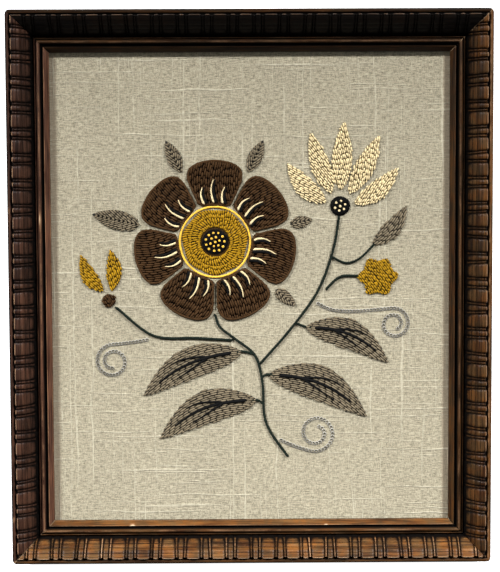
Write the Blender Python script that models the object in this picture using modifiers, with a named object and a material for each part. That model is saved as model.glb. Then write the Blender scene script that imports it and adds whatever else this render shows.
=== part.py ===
"""A crewel embroidery on linen, in a carved and mitred wooden frame.

The frame lies on its back: +Z is out of the picture, +Y is the picture's top, and the origin is
under the middle of the frame, on its flat back. Lengths are in metres, angles in degrees.
"""

from collections import namedtuple
from math import cos, pi, radians, sin, tan

import bmesh
import bpy
from mathutils import Vector

# Frame
SIGHT_WIDTH = 0.2920
SIGHT_HEIGHT = 0.3440
FIT_GAP = 0.0003
CORNER_CHAMFER = 0.0012

# Carving: wide and narrow blocks by turns, parted by V cuts across the band
WIDE_BLOCK = 0.0108
NARROW_BLOCK = 0.0049
CUT_WIDTH = 0.0013
CUT_DEPTH = 0.0014
REPEAT = WIDE_BLOCK + NARROW_BLOCK + 2 * CUT_WIDTH

# Moulding section, from the outer edge of the back over the face to the rabbet: distance in
# from the outer edge, height above the back, and whether the carver's cuts reach there
Section = namedtuple("Section", "across height carved")
SECTION = [
    Section(0.0000, 0.0000, False),
    Section(0.0000, 0.0215, False),
    Section(0.0008, 0.0229, False),
    Section(0.0020, 0.0231, False),
    Section(0.0029, 0.0218, False),
    Section(0.0033, 0.0206, False),
    Section(0.0041, 0.0250, True),
    Section(0.0052, 0.0258, True),
    Section(0.0085, 0.0243, True),
    Section(0.0121, 0.0210, True),
    Section(0.0155, 0.0164, True),
    Section(0.0176, 0.0122, False),
    Section(0.0181, 0.0104, False),
    Section(0.0201, 0.0104, False),
    Section(0.0206, 0.0124, False),
    Section(0.0214, 0.0138, False),
    Section(0.0227, 0.0139, False),
    Section(0.0235, 0.0126, False),
    Section(0.0239, 0.0112, False),
    Section(0.0255, 0.0112, False),
    Section(0.0261, 0.0128, False),
    Section(0.0295, 0.0094, False),
    Section(0.0296, 0.0076, False),
    Section(0.0233, 0.0076, False),
    Section(0.0233, 0.0000, False),
]
RAIL_WIDTH = max(point.across for point in SECTION)
RABBET_START = SECTION[-1].across
OUTER_WIDTH = SIGHT_WIDTH + 2 * RAIL_WIDTH
OUTER_HEIGHT = SIGHT_HEIGHT + 2 * RAIL_WIDTH

# Rails: turn about Z, length, distance of the outer edge from the middle, and where along the
# rail's own length a narrow block is centred
Rail = namedtuple("Rail", "name turn length offset narrow_at")
RAILS = [
    Rail("rail_bottom", 0, OUTER_WIDTH, OUTER_HEIGHT / 2, 0.0028),
    Rail("rail_right", 90, OUTER_HEIGHT, OUTER_WIDTH / 2, 0.0036),
    Rail("rail_top", 180, OUTER_WIDTH, OUTER_HEIGHT / 2, -0.0063),
    Rail("rail_left", 270, OUTER_HEIGHT, OUTER_WIDTH / 2, -0.0030),
]

# Board and linen, in the rabbet
BOARD_RECESS = 0.0008
BOARD_THICKNESS = 0.0025
LINEN_CLEARANCE = 0.0020
LINEN_THICKNESS = 0.0015
RABBET_WIDTH = OUTER_WIDTH - 2 * RABBET_START
RABBET_HEIGHT = OUTER_HEIGHT - 2 * RABBET_START
LINEN_BASE = BOARD_RECESS + BOARD_THICKNESS + FIT_GAP
LINEN_TOP = LINEN_BASE + LINEN_THICKNESS

# Embroidery: pads of wool stitching and thin worked lines, a hair above the linen
WOOL_BASE = LINEN_TOP + FIT_GAP
PAD_WALL = 0.0007
PAD_CROWN = 0.0005
PAD_EDGE = 0.0009
LINE_RADIUS = 0.0010
LINE_STEPS = 4

# Colours, linear red, green and blue, and roughness
Finish = namedtuple("Finish", "name red green blue roughness")
WALNUT = Finish("walnut", 0.060, 0.026, 0.011, 0.38)
LINEN = Finish("linen", 0.520, 0.480, 0.370, 0.90)
BOARD = Finish("backing_board", 0.180, 0.115, 0.065, 0.85)
BROWN = Finish("wool_brown", 0.034, 0.015, 0.006, 0.90)
GOLD = Finish("wool_gold", 0.320, 0.170, 0.018, 0.90)
CREAM = Finish("wool_cream", 0.640, 0.530, 0.320, 0.90)
BLACK = Finish("wool_black", 0.008, 0.007, 0.006, 0.90)
TAUPE = Finish("wool_taupe", 0.200, 0.155, 0.105, 0.90)
GREEN = Finish("wool_green", 0.008, 0.028, 0.020, 0.90)
GREY = Finish("wool_grey", 0.260, 0.260, 0.240, 0.90)

# Large flower: broad petals round a lobed ring round a heart, with sepals between the petals
FLOWER_X = -0.026
FLOWER_Y = 0.034
FLOWER_PETALS = 7
PETAL_INNER = 0.0265
PETAL_OUTER = 0.0600
PETAL_MARGIN = 0.0011
PETAL_STEPS = 11
RING_INNER = 0.0108
RING_OUTER = 0.0238
RING_WAVE = 0.0012
RING_STEPS = 42
HEART_RADIUS = 0.0100
SEPAL_INNER = 0.0595
Sepal = namedtuple("Sepal", "after_petal outer width")
SEPALS = [
    Sepal(0, 0.0830, 0.0110),
    Sepal(1, 0.0930, 0.0150),
    Sepal(4, 0.0760, 0.0095),
    Sepal(5, 0.0740, 0.0095),
    Sepal(6, 0.0830, 0.0110),
]

# Leaves and petals with a foot and a tip: width at the widest, and sideways bow of the middle
Blade = namedtuple("Blade", "name foot tip width bow finish")
BLADES = [
    Blade("leaf_low_right", (0.0125, -0.0640), (0.0860, -0.0960), 0.0260, 0.0090, TAUPE),
    Blade("leaf_low_left", (0.0050, -0.0830), (-0.0680, -0.1120), 0.0250, -0.0090, TAUPE),
    Blade("leaf_mid_left", (-0.0060, -0.0470), (-0.0800, -0.0800), 0.0240, -0.0080, TAUPE),
    Blade("leaf_mid_right", (0.0400, -0.0290), (0.1020, -0.0560), 0.0220, 0.0080, TAUPE),
    Blade("leaf_high_right", (0.0900, 0.0310), (0.1150, 0.0600), 0.0130, -0.0030, TAUPE),
    Blade("cream_petal_1", (0.0560, 0.0620), (0.0270, 0.0920), 0.0145, 0.0030, CREAM),
    Blade("cream_petal_2", (0.0600, 0.0690), (0.0440, 0.1140), 0.0145, 0.0010, CREAM),
    Blade("cream_petal_3", (0.0665, 0.0710), (0.0690, 0.1220), 0.0150, 0.0000, CREAM),
    Blade("cream_petal_4", (0.0730, 0.0685), (0.0950, 0.1120), 0.0145, -0.0010, CREAM),
    Blade("cream_petal_5", (0.0765, 0.0610), (0.1090, 0.0880), 0.0145, -0.0030, CREAM),
    Blade("bud_petal_left", (-0.1085, -0.0025), (-0.1250, 0.0250), 0.0115, 0.0030, GOLD),
    Blade("bud_petal_right", (-0.1020, -0.0020), (-0.1030, 0.0290), 0.0115, -0.0020, GOLD),
]
BLADE_STEPS = 9

# Round pads: centre, radius, number of lobes and how far they wave in and out
Disc = namedtuple("Disc", "name centre radius lobes wave finish")
DISCS = [
    Disc("flower_heart", (FLOWER_X, FLOWER_Y), HEART_RADIUS, 0, 0, BLACK),
    Disc("cream_flower_cup", (0.0660, 0.0600), 0.0075, 0, 0, BLACK),
    Disc("gold_flower", (0.0940, 0.0080), 0.0135, 6, 0.0016, GOLD),
    Disc("bud_cup", (-0.1045, -0.0090), 0.0052, 0, 0, BROWN),
]
DISC_STEPS = 24

# Stems: a smooth line through hand-placed points
Stem = namedtuple("Stem", "name finish points")
STEMS = [
    Stem("stem_main", GREEN,
         [(0.0260, -0.1240), (0.0110, -0.1000), (0.0085, -0.0700), (0.0030, -0.0500),
          (-0.0120, -0.0375), (-0.0240, -0.0285)]),
    Stem("stem_right", GREEN,
         [(0.0085, -0.0545), (0.0300, -0.0300), (0.0500, -0.0020), (0.0610, 0.0280),
          (0.0650, 0.0505)]),
    Stem("stem_gold", GREEN, [(0.0570, 0.0000), (0.0660, 0.0080), (0.0775, 0.0085)]),
    Stem("stem_bud", GREEN,
         [(-0.0155, -0.0385), (-0.0400, -0.0370), (-0.0720, -0.0350), (-0.0980, -0.0150)]),
]

# Tendrils: a line from a stem into a spiral, which tightens about its centre from a first bearing
Tendril = namedtuple("Tendril", "name lead centre radius end_radius bearing turns")
TENDRILS = [
    Tendril("tendril_low", [(0.0208, -0.1126), (0.0305, -0.1172)],
            (0.0480, -0.1080), 0.0145, 0.0050, 240, 1.6),
    Tendril("tendril_left", [(-0.0750, -0.0378), (-0.0870, -0.0398)],
            (-0.1020, -0.0540), 0.0130, 0.0048, 80, 1.6),
    Tendril("tendril_right", [(0.0485, -0.0110), (0.0600, -0.0165), (0.0780, -0.0175)],
            (0.1060, -0.0270), 0.0120, 0.0045, 110, -1.5),
]
TENDRIL_STEPS = 16


def remove_start_objects():
    """Empty the scene."""
    for item in list(bpy.data.objects):
        bpy.data.objects.remove(item, do_unlink=True)


def make_collection(name):
    """A collection linked to the scene."""
    collection = bpy.data.collections.new(name)
    bpy.context.scene.collection.children.link(collection)
    return collection


def make_material(finish):
    """The Principled material of one finish, made on first use."""
    material = bpy.data.materials.get(finish.name)
    if material is None:
        material = bpy.data.materials.new(finish.name)
        material.use_nodes = True
        shader = material.node_tree.nodes["Principled BSDF"]
        shader.inputs["Base Color"].default_value = (finish.red, finish.green, finish.blue, 1)
        shader.inputs["Roughness"].default_value = finish.roughness
        shader.inputs["Metallic"].default_value = 0
    return material


def add_object(collection, name, data, finish):
    """An object for finished mesh or curve data, in its material."""
    data.materials.append(make_material(finish))
    item = bpy.data.objects.new(name, data)
    collection.objects.link(item)
    return item


def mesh_from(bm, name):
    """Mesh data from a bmesh, with its faces pointing outwards."""
    bmesh.ops.recalc_face_normals(bm, faces=bm.faces[:])
    mesh = bpy.data.meshes.new(name)
    bm.to_mesh(mesh)
    bm.free()
    return mesh


def carving_stations(rail):
    """Places along a rail with the depth cut there: the foot and both brinks of each V cut."""
    reach = rail.length / 2 + REPEAT
    stations = [(-reach, 0)]
    first = rail.narrow_at - REPEAT * int(rail.length / 2 / REPEAT + 1)
    cut_from_narrow = (NARROW_BLOCK + CUT_WIDTH) / 2
    centre = first
    while centre < rail.length / 2 + cut_from_narrow:
        for cut_centre in (centre - cut_from_narrow, centre + cut_from_narrow):
            stations.append((cut_centre - CUT_WIDTH / 2, 0))
            stations.append((cut_centre, CUT_DEPTH))
            stations.append((cut_centre + CUT_WIDTH / 2, 0))
        centre += REPEAT
    stations.append((reach + REPEAT, 0))
    return stations


def loft_section(bm, stations):
    """Skin the moulding section along X, sinking its carved points at each cut."""
    rings = []
    for along, depth in stations:
        rings.append([bm.verts.new((along, point.across, point.height - depth * point.carved))
                      for point in SECTION])
    count = len(SECTION)
    for ring, following in zip(rings, rings[1:]):
        for index in range(count):
            beside = (index + 1) % count
            bm.faces.new((ring[index], ring[beside], following[beside], following[index]))
    bm.faces.new(rings[0])
    bm.faces.new(reversed(rings[-1]))


def slice_off(bm, point, direction):
    """Cut the solid with a plane, drop what lies beyond it and close the cut."""
    everything = bm.verts[:] + bm.edges[:] + bm.faces[:]
    result = bmesh.ops.bisect_plane(bm, geom=everything, plane_co=point, plane_no=direction,
                                    clear_outer=True)
    rim = [item for item in result["geom_cut"] if isinstance(item, bmesh.types.BMEdge)]
    bmesh.ops.contextual_create(bm, geom=rim)


def make_rail(collection, rail):
    """One carved rail, mitred at both ends, its corners just blunted."""
    bm = bmesh.new()
    loft_section(bm, carving_stations(rail))
    for side in (-1, 1):
        mitre = Vector((side, 1, 0)).normalized()
        corner = Vector((side * rail.length / 2, 0, 0))
        slice_off(bm, corner - mitre * FIT_GAP / 2, mitre)
        blunting = Vector((side, -1, 0)).normalized()
        slice_off(bm, corner - Vector((side * CORNER_CHAMFER, 0, 0)), blunting)
    item = add_object(collection, rail.name, mesh_from(bm, rail.name), WALNUT)
    turn = radians(rail.turn)
    item.rotation_euler = (0, 0, turn)
    item.location = (rail.offset * sin(turn), -rail.offset * cos(turn), 0)


def make_sheet(collection, name, width, height, base, thickness, finish):
    """A flat sheet: a plane given its thickness upwards."""
    bpy.ops.mesh.primitive_plane_add(size=1, location=(0, 0, base))
    sheet = bpy.context.object
    sheet.name = name
    sheet.data.transform(((width, 0, 0, 0), (0, height, 0, 0), (0, 0, 1, 0), (0, 0, 0, 1)))
    sheet.data.materials.append(make_material(finish))
    solidify = sheet.modifiers.new("thickness", "SOLIDIFY")
    solidify.thickness = thickness
    solidify.offset = 1
    for owner in list(sheet.users_collection):
        owner.objects.unlink(sheet)
    collection.objects.link(sheet)


def raise_pad(bm):
    """Turn flat faces into a pad with a low wall and a crown that slopes in from its edge."""
    flat = bm.faces[:]
    lifted = bmesh.ops.extrude_face_region(bm, geom=flat)["geom"]
    top_verts = [item for item in lifted if isinstance(item, bmesh.types.BMVert)]
    top_faces = [item for item in lifted if isinstance(item, bmesh.types.BMFace)]
    bmesh.ops.translate(bm, verts=top_verts, vec=(0, 0, PAD_WALL))
    bmesh.ops.inset_region(bm, faces=top_faces, thickness=PAD_EDGE, use_even_offset=True)
    crown_verts = {vert for face in top_faces for vert in face.verts}
    bmesh.ops.translate(bm, verts=list(crown_verts), vec=(0, 0, PAD_CROWN))


def make_pad(collection, name, outline, finish):
    """A pad of stitching with a single outline."""
    bm = bmesh.new()
    bm.faces.new([bm.verts.new((x, y, WOOL_BASE)) for x, y in outline])
    bmesh.ops.recalc_face_normals(bm, faces=bm.faces[:])
    raise_pad(bm)
    add_object(collection, name, mesh_from(bm, name), finish)


def make_ring_pad(collection, name, outer, inner, finish):
    """A pad of stitching between two outlines with as many points."""
    bm = bmesh.new()
    outer_verts = [bm.verts.new((x, y, WOOL_BASE)) for x, y in outer]
    inner_verts = [bm.verts.new((x, y, WOOL_BASE)) for x, y in inner]
    for index in range(len(outer)):
        beside = (index + 1) % len(outer)
        bm.faces.new((outer_verts[index], outer_verts[beside],
                      inner_verts[beside], inner_verts[index]))
    raise_pad(bm)
    add_object(collection, name, mesh_from(bm, name), finish)


def blade_outline(foot, tip, width, bow):
    """A pointed leaf or petal about a bowed midline, as a closed ring of points."""
    foot = Vector(foot)
    along = Vector(tip) - foot
    across = Vector((-along.y, along.x)).normalized()
    left = []
    right = []
    for step in range(1, BLADE_STEPS):
        share = step / BLADE_STEPS
        middle = foot + along * share + across * bow * sin(pi * share)
        half = width / 2 * sin(pi * share ** 0.85) ** 0.8
        left.append(middle + across * half)
        right.append(middle - across * half)
    return [foot] + right + [foot + along] + left[::-1]


def petal_outline(bearing):
    """A broad, round-ended petal of the large flower, pointing along a bearing in radians."""
    along = Vector((cos(bearing), sin(bearing)))
    across = Vector((-along.y, along.x))
    centre = Vector((FLOWER_X, FLOWER_Y))
    left = []
    right = []
    for step in range(PETAL_STEPS):
        share = sin(pi / 2 * step / PETAL_STEPS)
        reach = PETAL_INNER + (PETAL_OUTER - PETAL_INNER) * share
        half = (reach * tan(pi / FLOWER_PETALS) - PETAL_MARGIN) * (1 - share ** 5) ** 0.6
        left.append(centre + along * reach + across * half)
        right.append(centre + along * reach - across * half)
    return right + [centre + along * PETAL_OUTER] + left[::-1]


def round_outline(centre, radius, lobes, wave, steps):
    """A circle that may wave in and out, as a closed ring of points."""
    points = []
    for step in range(steps):
        bearing = 2 * pi * step / steps
        reach = radius + wave * cos(lobes * bearing - pi / 2 * lobes + pi)
        points.append(Vector(centre) + Vector((cos(bearing), sin(bearing))) * reach)
    return points


def smooth_line(points):
    """Points on a smooth line through the given ones."""
    padded = [Vector(point) for point in [points[0]] + points + [points[-1]]]
    line = []
    for before, start, end, after in zip(padded, padded[1:], padded[2:], padded[3:]):
        for step in range(LINE_STEPS):
            share = step / LINE_STEPS
            bend = (2 * before - 5 * start + 4 * end - after) * share ** 2
            twist = (3 * (start - end) + after - before) * share ** 3
            line.append((2 * start + (end - before) * share + bend + twist) / 2)
    return line + [Vector(points[-1])]


def tendril_line(tendril):
    """Points along a tendril's lead and then round its spiral."""
    spiral = []
    for step in range(round(TENDRIL_STEPS * abs(tendril.turns)) + 1):
        share = step / (TENDRIL_STEPS * abs(tendril.turns))
        bearing = radians(tendril.bearing) + 2 * pi * tendril.turns * share
        reach = tendril.radius + (tendril.end_radius - tendril.radius) * share
        spiral.append(Vector(tendril.centre) + Vector((cos(bearing), sin(bearing))) * reach)
    lead = smooth_line(tendril.lead + [tuple(spiral[0])])
    return lead[:-1] + spiral


def make_line(collection, name, points, finish):
    """A line of stitches: a thin round tube lying on the linen."""
    curve = bpy.data.curves.new(name, "CURVE")
    curve.dimensions = "3D"
    curve.bevel_depth = LINE_RADIUS
    curve.bevel_resolution = 1
    curve.use_fill_caps = True
    spline = curve.splines.new("POLY")
    spline.points.add(len(points) - 1)
    for target, point in zip(spline.points, points):
        target.co = (point.x, point.y, WOOL_BASE + LINE_RADIUS, 1)
    add_object(collection, name, curve, finish)


def make_large_flower(collection):
    """The large flower's petals, lobed ring and sepals. Its heart is one of the discs."""
    centre = Vector((FLOWER_X, FLOWER_Y))
    step = 2 * pi / FLOWER_PETALS
    for index in range(FLOWER_PETALS):
        outline = petal_outline(pi / 2 + step * index)
        make_pad(collection, f"flower_petal_{index + 1}", outline, BROWN)
    for index, sepal in enumerate(SEPALS):
        bearing = pi / 2 + step * (sepal.after_petal + 0.5)
        along = Vector((cos(bearing), sin(bearing)))
        outline = blade_outline(centre + along * SEPAL_INNER, centre + along * sepal.outer,
                                sepal.width, 0)
        make_pad(collection, f"flower_sepal_{index + 1}", outline, TAUPE)
    outer = round_outline(centre, RING_OUTER, FLOWER_PETALS, RING_WAVE, RING_STEPS)
    inner = round_outline(centre, RING_INNER, 0, 0, RING_STEPS)
    make_ring_pad(collection, "flower_ring", outer, inner, GOLD)


def make_embroidery(collection):
    """All the raised stitching."""
    make_large_flower(collection)
    for blade in BLADES:
        outline = blade_outline(blade.foot, blade.tip, blade.width, blade.bow)
        make_pad(collection, blade.name, outline, blade.finish)
    for disc in DISCS:
        outline = round_outline(disc.centre, disc.radius, disc.lobes, disc.wave, DISC_STEPS)
        make_pad(collection, disc.name, outline, disc.finish)
    for stem in STEMS:
        make_line(collection, stem.name, smooth_line(stem.points), stem.finish)
    for tendril in TENDRILS:
        make_line(collection, tendril.name, tendril_line(tendril), GREY)


def main():
    remove_start_objects()
    collection = make_collection("framed_embroidery")
    for rail in RAILS:
        make_rail(collection, rail)
    make_sheet(collection, "backing_board", RABBET_WIDTH - 2 * FIT_GAP,
               RABBET_HEIGHT - 2 * FIT_GAP, BOARD_RECESS, BOARD_THICKNESS, BOARD)
    make_sheet(collection, "linen", RABBET_WIDTH - 2 * LINEN_CLEARANCE,
               RABBET_HEIGHT - 2 * LINEN_CLEARANCE, LINEN_BASE, LINEN_THICKNESS, LINEN)
    make_embroidery(collection)


main()
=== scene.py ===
"""A crewel flower spray on slub linen, in a carved and walnut-stained frame that lies face up."""

from collections import namedtuple
from math import cos, pi, radians, sin, tan

import bpy
import numpy as np
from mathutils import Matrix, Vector, noise


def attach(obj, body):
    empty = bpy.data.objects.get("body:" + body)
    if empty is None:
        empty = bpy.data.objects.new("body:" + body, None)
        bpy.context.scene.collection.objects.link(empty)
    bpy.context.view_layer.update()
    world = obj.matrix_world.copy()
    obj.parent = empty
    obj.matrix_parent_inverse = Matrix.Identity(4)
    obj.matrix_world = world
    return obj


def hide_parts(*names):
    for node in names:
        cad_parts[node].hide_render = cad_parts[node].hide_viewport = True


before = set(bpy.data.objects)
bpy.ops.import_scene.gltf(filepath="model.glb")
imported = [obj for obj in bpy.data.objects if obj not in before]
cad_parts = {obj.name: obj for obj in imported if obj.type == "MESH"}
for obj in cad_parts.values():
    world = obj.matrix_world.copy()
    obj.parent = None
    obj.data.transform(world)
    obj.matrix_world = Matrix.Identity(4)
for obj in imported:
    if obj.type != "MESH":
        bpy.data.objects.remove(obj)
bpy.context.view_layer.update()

# Frame: its opening and rails, in metres as everything here is
SIGHT_WIDTH = 0.2920
SIGHT_HEIGHT = 0.3440
RAIL_WIDTH = 0.0296
OUTER_WIDTH = SIGHT_WIDTH + 2 * RAIL_WIDTH
OUTER_HEIGHT = SIGHT_HEIGHT + 2 * RAIL_WIDTH

# Mitres: how far a corner is worn round, the leans of the two cuts that round each rail's half of
# it, as shares of a quarter turn, the hair between two rails, and the filler's pale line
CORNER_ROUND = 0.0046
CORNER_LEANS = (0.25, 0.5)
MITRE_HAIR = 0.00003
MITRE_LINE = (0.0003, 0.0007)

# The strip of the back that closes a rail's section, and how near two points are one
CLOSING_STRIP = 0.007
SAME_PLACE = 0.000001

# Moulding, from the outer edge of the back over the face to the rabbet, in tenths of a
# millimetre and shares: distance in, height, reach of the carver's cuts, grime with painted shade
# in the grooves, and rubbed edge with painted highlights
TENTHS = 1e4
MOULDING = [
    # outer side and rim
    (0, 0, 0, 0, 0), (0, 70, 0, 0, 0), (0, 140, 0, 0, 0), (0, 204, 0, .6, 0), (1, 217, 0, .8, 0),
    (4.5, 226, 0, .7, 0), (9, 230.5, 0, .3, .1), (16, 232, 0, 0, .3), (24, 231.5, 0, 0, .6),
    (29, 228.5, 0, .3, .3), (33, 221, 0, .9, 0),
    # groove outside the carving
    (34, 211, 0, 1.2, 0), (35, 206, 0, 1.3, 0), (36.2, 208, 0, 1.3, 0), (37.5, 220, 0, 1.2, 0),
    # carved band
    (39, 233, .3, .8, .1), (41, 244, .8, .4, .4), (43.5, 251.5, 1, 0, 1.1), (46.5, 256, 1, 0, 1.5),
    (50, 257.6, 1, 0, 1.0), (53.5, 256.6, 1, .1, .1), (58, 253.2, 1, .4, 0), (62, 252.6, 1, .1, 0),
    (72, 249.8, 1, 0, .3), (80, 245.2, 1, .1, .1), (84, 240.5, 1, .6, 0), (88, 238.4, 1, .1, .2),
    (97, 233.2, 1, 0, .5), (106, 226.5, 1, 0, .3), (113, 218, 1, .1, .1), (117, 210.5, 1, .6, 0),
    (121, 208, 1, .1, .2), (129, 200.5, 1, 0, .5), (137, 192, 1, .1, .2), (143, 182, 1, .6, 0),
    (148, 178.5, 1, .1, .1), (156, 170, 1, 0, .3), (163.5, 160, 1, .1, .2), (169, 149, 1, .5, 0),
    (172.5, 139.5, .9, 1, 0), (176, 128, .6, 1.3, 0), (179, 117, .2, 1.3, 0),
    # groove inside the carving
    (181, 109, 0, 1.3, 0), (183, 104.5, 0, 1.3, 0), (185.5, 103, 0, 1.3, 0), (188, 104, 0, 1.3, 0),
    (190.5, 113, 0, 1.1, 0),
    # thin fillet
    (193, 120.5, 0, .2, .3), (197, 122, 0, 0, .6), (200.5, 119, 0, .4, .2),
    # narrow groove
    (203.5, 114.5, 0, 1.3, 0), (206.5, 119, 0, .9, 0),
    # bead
    (210, 130, 0, .2, 0), (216, 137.5, 0, 0, .4), (223, 140, 0, 0, .8), (230, 138, 0, 0, .6),
    (235, 132, 0, .2, .4),
    # flat channel
    (238.5, 122, 0, .9, 0), (241, 113, 0, 1.3, 0), (243, 108, 0, 1.3, 0), (247, 107.5, 0, 1.3, 0),
    (253, 108, 0, 1.3, 0), (256.5, 115, 0, 1, 0),
    # lip
    (259, 123.5, 0, .3, .4), (261.5, 128, 0, 0, 1.2), (265, 126.5, 0, 0, .4),
    (273, 117.5, 0, 0, .2), (281, 109, 0, 0, .1), (289, 100.5, 0, 0, .3), (294, 95, 0, 0, .8),
    (296, 92, 0, .2, .6),
    # under the lip, and the rabbet
    (296, 84, 0, .8, 0), (296, 76, 0, 1, 0), (287, 76, 0, 1, 0), (265, 76, 0, 1, 0),
    (236, 76, 0, 1, 0), (233, 75, 0, 1, 0), (233, 40, 0, 1, 0), (233, 3, 0, .5, 0),
    # back
    (230, 0, 0, 0, 0), (150, 0, 0, 0, 0), (70, 0, 0, 0, 0),
]

# Blocks of the carving: length, how square the ends are, and where they are modelled, as shares
# of half the length
Block = namedtuple("Block", "length squareness steps")
NARROW = Block(0.0037, 4, (-1, -.92, -.78, -.5, 0, .5, .78, .92, 1))
WIDE = Block(0.0094, 7, (-1, -.96, -.89, -.78, -.6, -.25, .25, .6, .78, .89, .96, 1))

# Wide and narrow blocks take turns, parted by a thin ridge between two cuts. The ridge is
# modelled at these cut widths from the block, with its sink, painted highlight on its pale crest
# and dirt with painted shade as shares
RidgeStep = namedtuple("RidgeStep", "run sink crest dirt")
RIDGE_STEPS = [RidgeStep(.5, 1, 0, 1), RidgeStep(1, .34, .4, .2), RidgeStep(1.45, .26, 1, 0),
               RidgeStep(1.9, .34, .4, .2), RidgeStep(2.4, 1, 0, 1)]
RIDGE_WIDTH = 0.0008
CUT_WIDTH = 0.0009
REPEAT = WIDE.length + NARROW.length + 2 * RIDGE_WIDTH + 4 * CUT_WIDTH

# How deep the carver went: in a cut, to a ridge and down its sides, and at a block's brink and
# its ends, and how much of a cut's slant shows across the moulding
CUT_DEPTH = 0.0017
RIDGE_DEPTH = 0.00055
RIDGE_SLOPE = 0.0006
BRINK_DEPTH = 0.00075
END_INSET = 0.0011
TONGUE_DEPTH = 0.0013
SLANT_SHARE = 0.9

# How much the carver's blocks and cuts differ
BLOCK_TONES = (0.75, 1.3)
BLOCK_SINK = 0.00018
CUT_SLANT = 0.035
CUT_SPREAD = (0.85, 1.15)
CREST_SPREAD = (0.15, 1.1)

# Places across the moulding, as distances in from its outer edge; a reach is a slope's length
RIM_BRINK = 0.0012
RIM_END = 0.0033
BLOCK_BACK = 0.0036
BLOCK_BACK_REACH = 0.0024
CARVING_MIDDLE = 0.0105
INNER_SHADE = 0.0108
INNER_SHADE_REACH = 0.0068
TONGUE = 0.0146
TONGUE_REACH = 0.0030
BEAD_END = 0.0240
LIP = 0.0250

# Dirt and painted shade, wear and painted highlight, as shares: dirt and painted shade at a
# block's ends, beside and on a ridge and in a cut, wear and painted highlight lost at a block's
# ends, painted pale light caught by a ridge, and the stain of the bead beside the carving's
END_DIRT_AND_SHADE = 0.8
END_DIRT_AND_SHADE_POWER = 0.55
END_DIRT_AND_SHADE_REACH = 0.75
RIDGE_DIRT_AND_SHADE = 0.52
CREST_CLEAN = 0.34
CUT_DIRT_AND_SHADE = 0.72
END_WEAR_AND_HIGHLIGHT_LOST = 0.8
RIDGE_CATCH = 0.75
INNER_CATCH_LOST = 0.5
BEAD_STAIN = 0.55

# Rails: turn about Z, length, distance of the outer edge from the middle, where a narrow block
# is centred, how far the mitre stands open inside, how pale the stain and each rail's painted
# light and shade make the carving, the smooth parts and the lip, how pale and worn the rim is
# with its painted light and shade, and how worn the blocks' crests are and how much painted
# highlight they take
Rail = namedtuple("Rail", "name turn length offset narrow_at gap carved smooth lip rim crest")
RAILS = [
    Rail("rail_bottom", 0, OUTER_WIDTH, OUTER_HEIGHT / 2, 0.0028, 0.0003, 1.27, 1.15, 1.15, 0.45, 1.25),
    Rail("rail_right", 90, OUTER_HEIGHT, OUTER_WIDTH / 2, 0.0036, 0.0003, 0.72, 0.62, 0.50, 1.6, 0.85),
    Rail("rail_top", 180, OUTER_WIDTH, OUTER_HEIGHT / 2, -0.0063, 0.0002, 0.04, 0.46, 0.22, 0.8, 0.75),
    Rail("rail_left", 270, OUTER_HEIGHT, OUTER_WIDTH / 2, -0.0030, 0.0002, 0.69, 1.50, 1.45, 0.42, 1.0),
]

# Knocks: where they are along and across a rail, how long they are, and how bare the wood is
Knock = namedtuple("Knock", "rail along across length bare")
KNOCKS = [
    Knock("rail_left", -0.0575, 0.0008, 0.0030, 1.6), Knock("rail_left", -0.0500, 0.0012, 0.0012, 1.4),
    Knock("rail_left", 0.1680, 0.0012, 0.0018, 1.5), Knock("rail_left", -0.0510, 0.0221, 0.0060, 1.1),
    Knock("rail_bottom", -0.0880, 0.0265, 0.0020, 1.6),
    Knock("rail_bottom", 0.0550, 0.0262, 0.0014, 1.3),
]
KNOCK_WIDTH = 0.0011

# Stain, wear and dirt colours, linear: dark and pale grain, and the plain ones. Rubbed and bare
# wood also serve as painted highlights, and grime with its dull finish also as painted shade
RED_GRAIN = ((0.026, 0.008, 0.002), (0.150, 0.058, 0.013))
OLIVE_GRAIN = ((0.020, 0.009, 0.003), (0.108, 0.054, 0.018))
# The mauve grain is painted cool light on the left rail
MAUVE_GRAIN = ((0.018, 0.007, 0.005), (0.094, 0.042, 0.030))
RUBBED_AND_HIGHLIT_WOOD = (0.250, 0.135, 0.068)
BARE_AND_HIGHLIT_WOOD = (0.560, 0.420, 0.270)
MITRE_FILLER = (0.230, 0.150, 0.085)
GRIME_AND_SHADE_COLOUR = (0.003, 0.002, 0.0015)
GRIME_AND_SHADE_FINISH = (0.0025, 0.0018, 0.0014)

# Linen
LINEN_WIDTH = 0.3006
LINEN_HEIGHT = 0.3526
LINEN_TOP = 0.0051
LINEN_THICKNESS = 0.0007
LINEN_CELL = 0.0030
LINEN_RIPPLE = 0.00012
RIPPLES_ACROSS = 22
RIPPLES_UP = 17
THREAD_PITCH = 0.00058

# Linen colours, linear, and from where to where, in from the opening's edge, the cloth is tinted
# with painted warm bounce light in the shade at the sides and lightened with painted light in the
# shade at the top
LINEN_SHADE = (0.150, 0.132, 0.084)
LINEN_LIGHT = (0.480, 0.428, 0.306)
LINEN_WARM_SHADE = (0.300, 0.225, 0.150)
SLUB_COLOUR = (0.600, 0.550, 0.412)
FLECK_COLOUR = (0.160, 0.130, 0.080)
WARM_SHADE_SIDES = (0.0060, 0.0030)
PAINTED_LIGHT_TOP = (0.0044, 0.0030)

# Backing board: linear colours, and the mesh of the screen that it was pressed on
BOARD_DARK = (0.105, 0.060, 0.030)
BOARD_PALE = (0.270, 0.175, 0.098)
SCREEN_PITCH = 0.0016

# Padding under an area: its height at the edge, how much more it has inside and how soon, how
# far in its top and its foot are, how deep its foot is in the cloth and how high its own top is
PAD_LOW = 0.0003
PAD_RISE = 0.0007
PAD_SLOPE = 0.0016
PAD_INSET = 0.0008
PAD_FOOT_INSET = 0.0002
PAD_SUNK = 0.0003
PAD_TOP_SHARE = 0.35

# Yarn: the length in which its plies wind once round each other, and how full a stitch is
PLY_TWIST = 0.0016
STITCH_FULLNESS = 3.4

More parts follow.
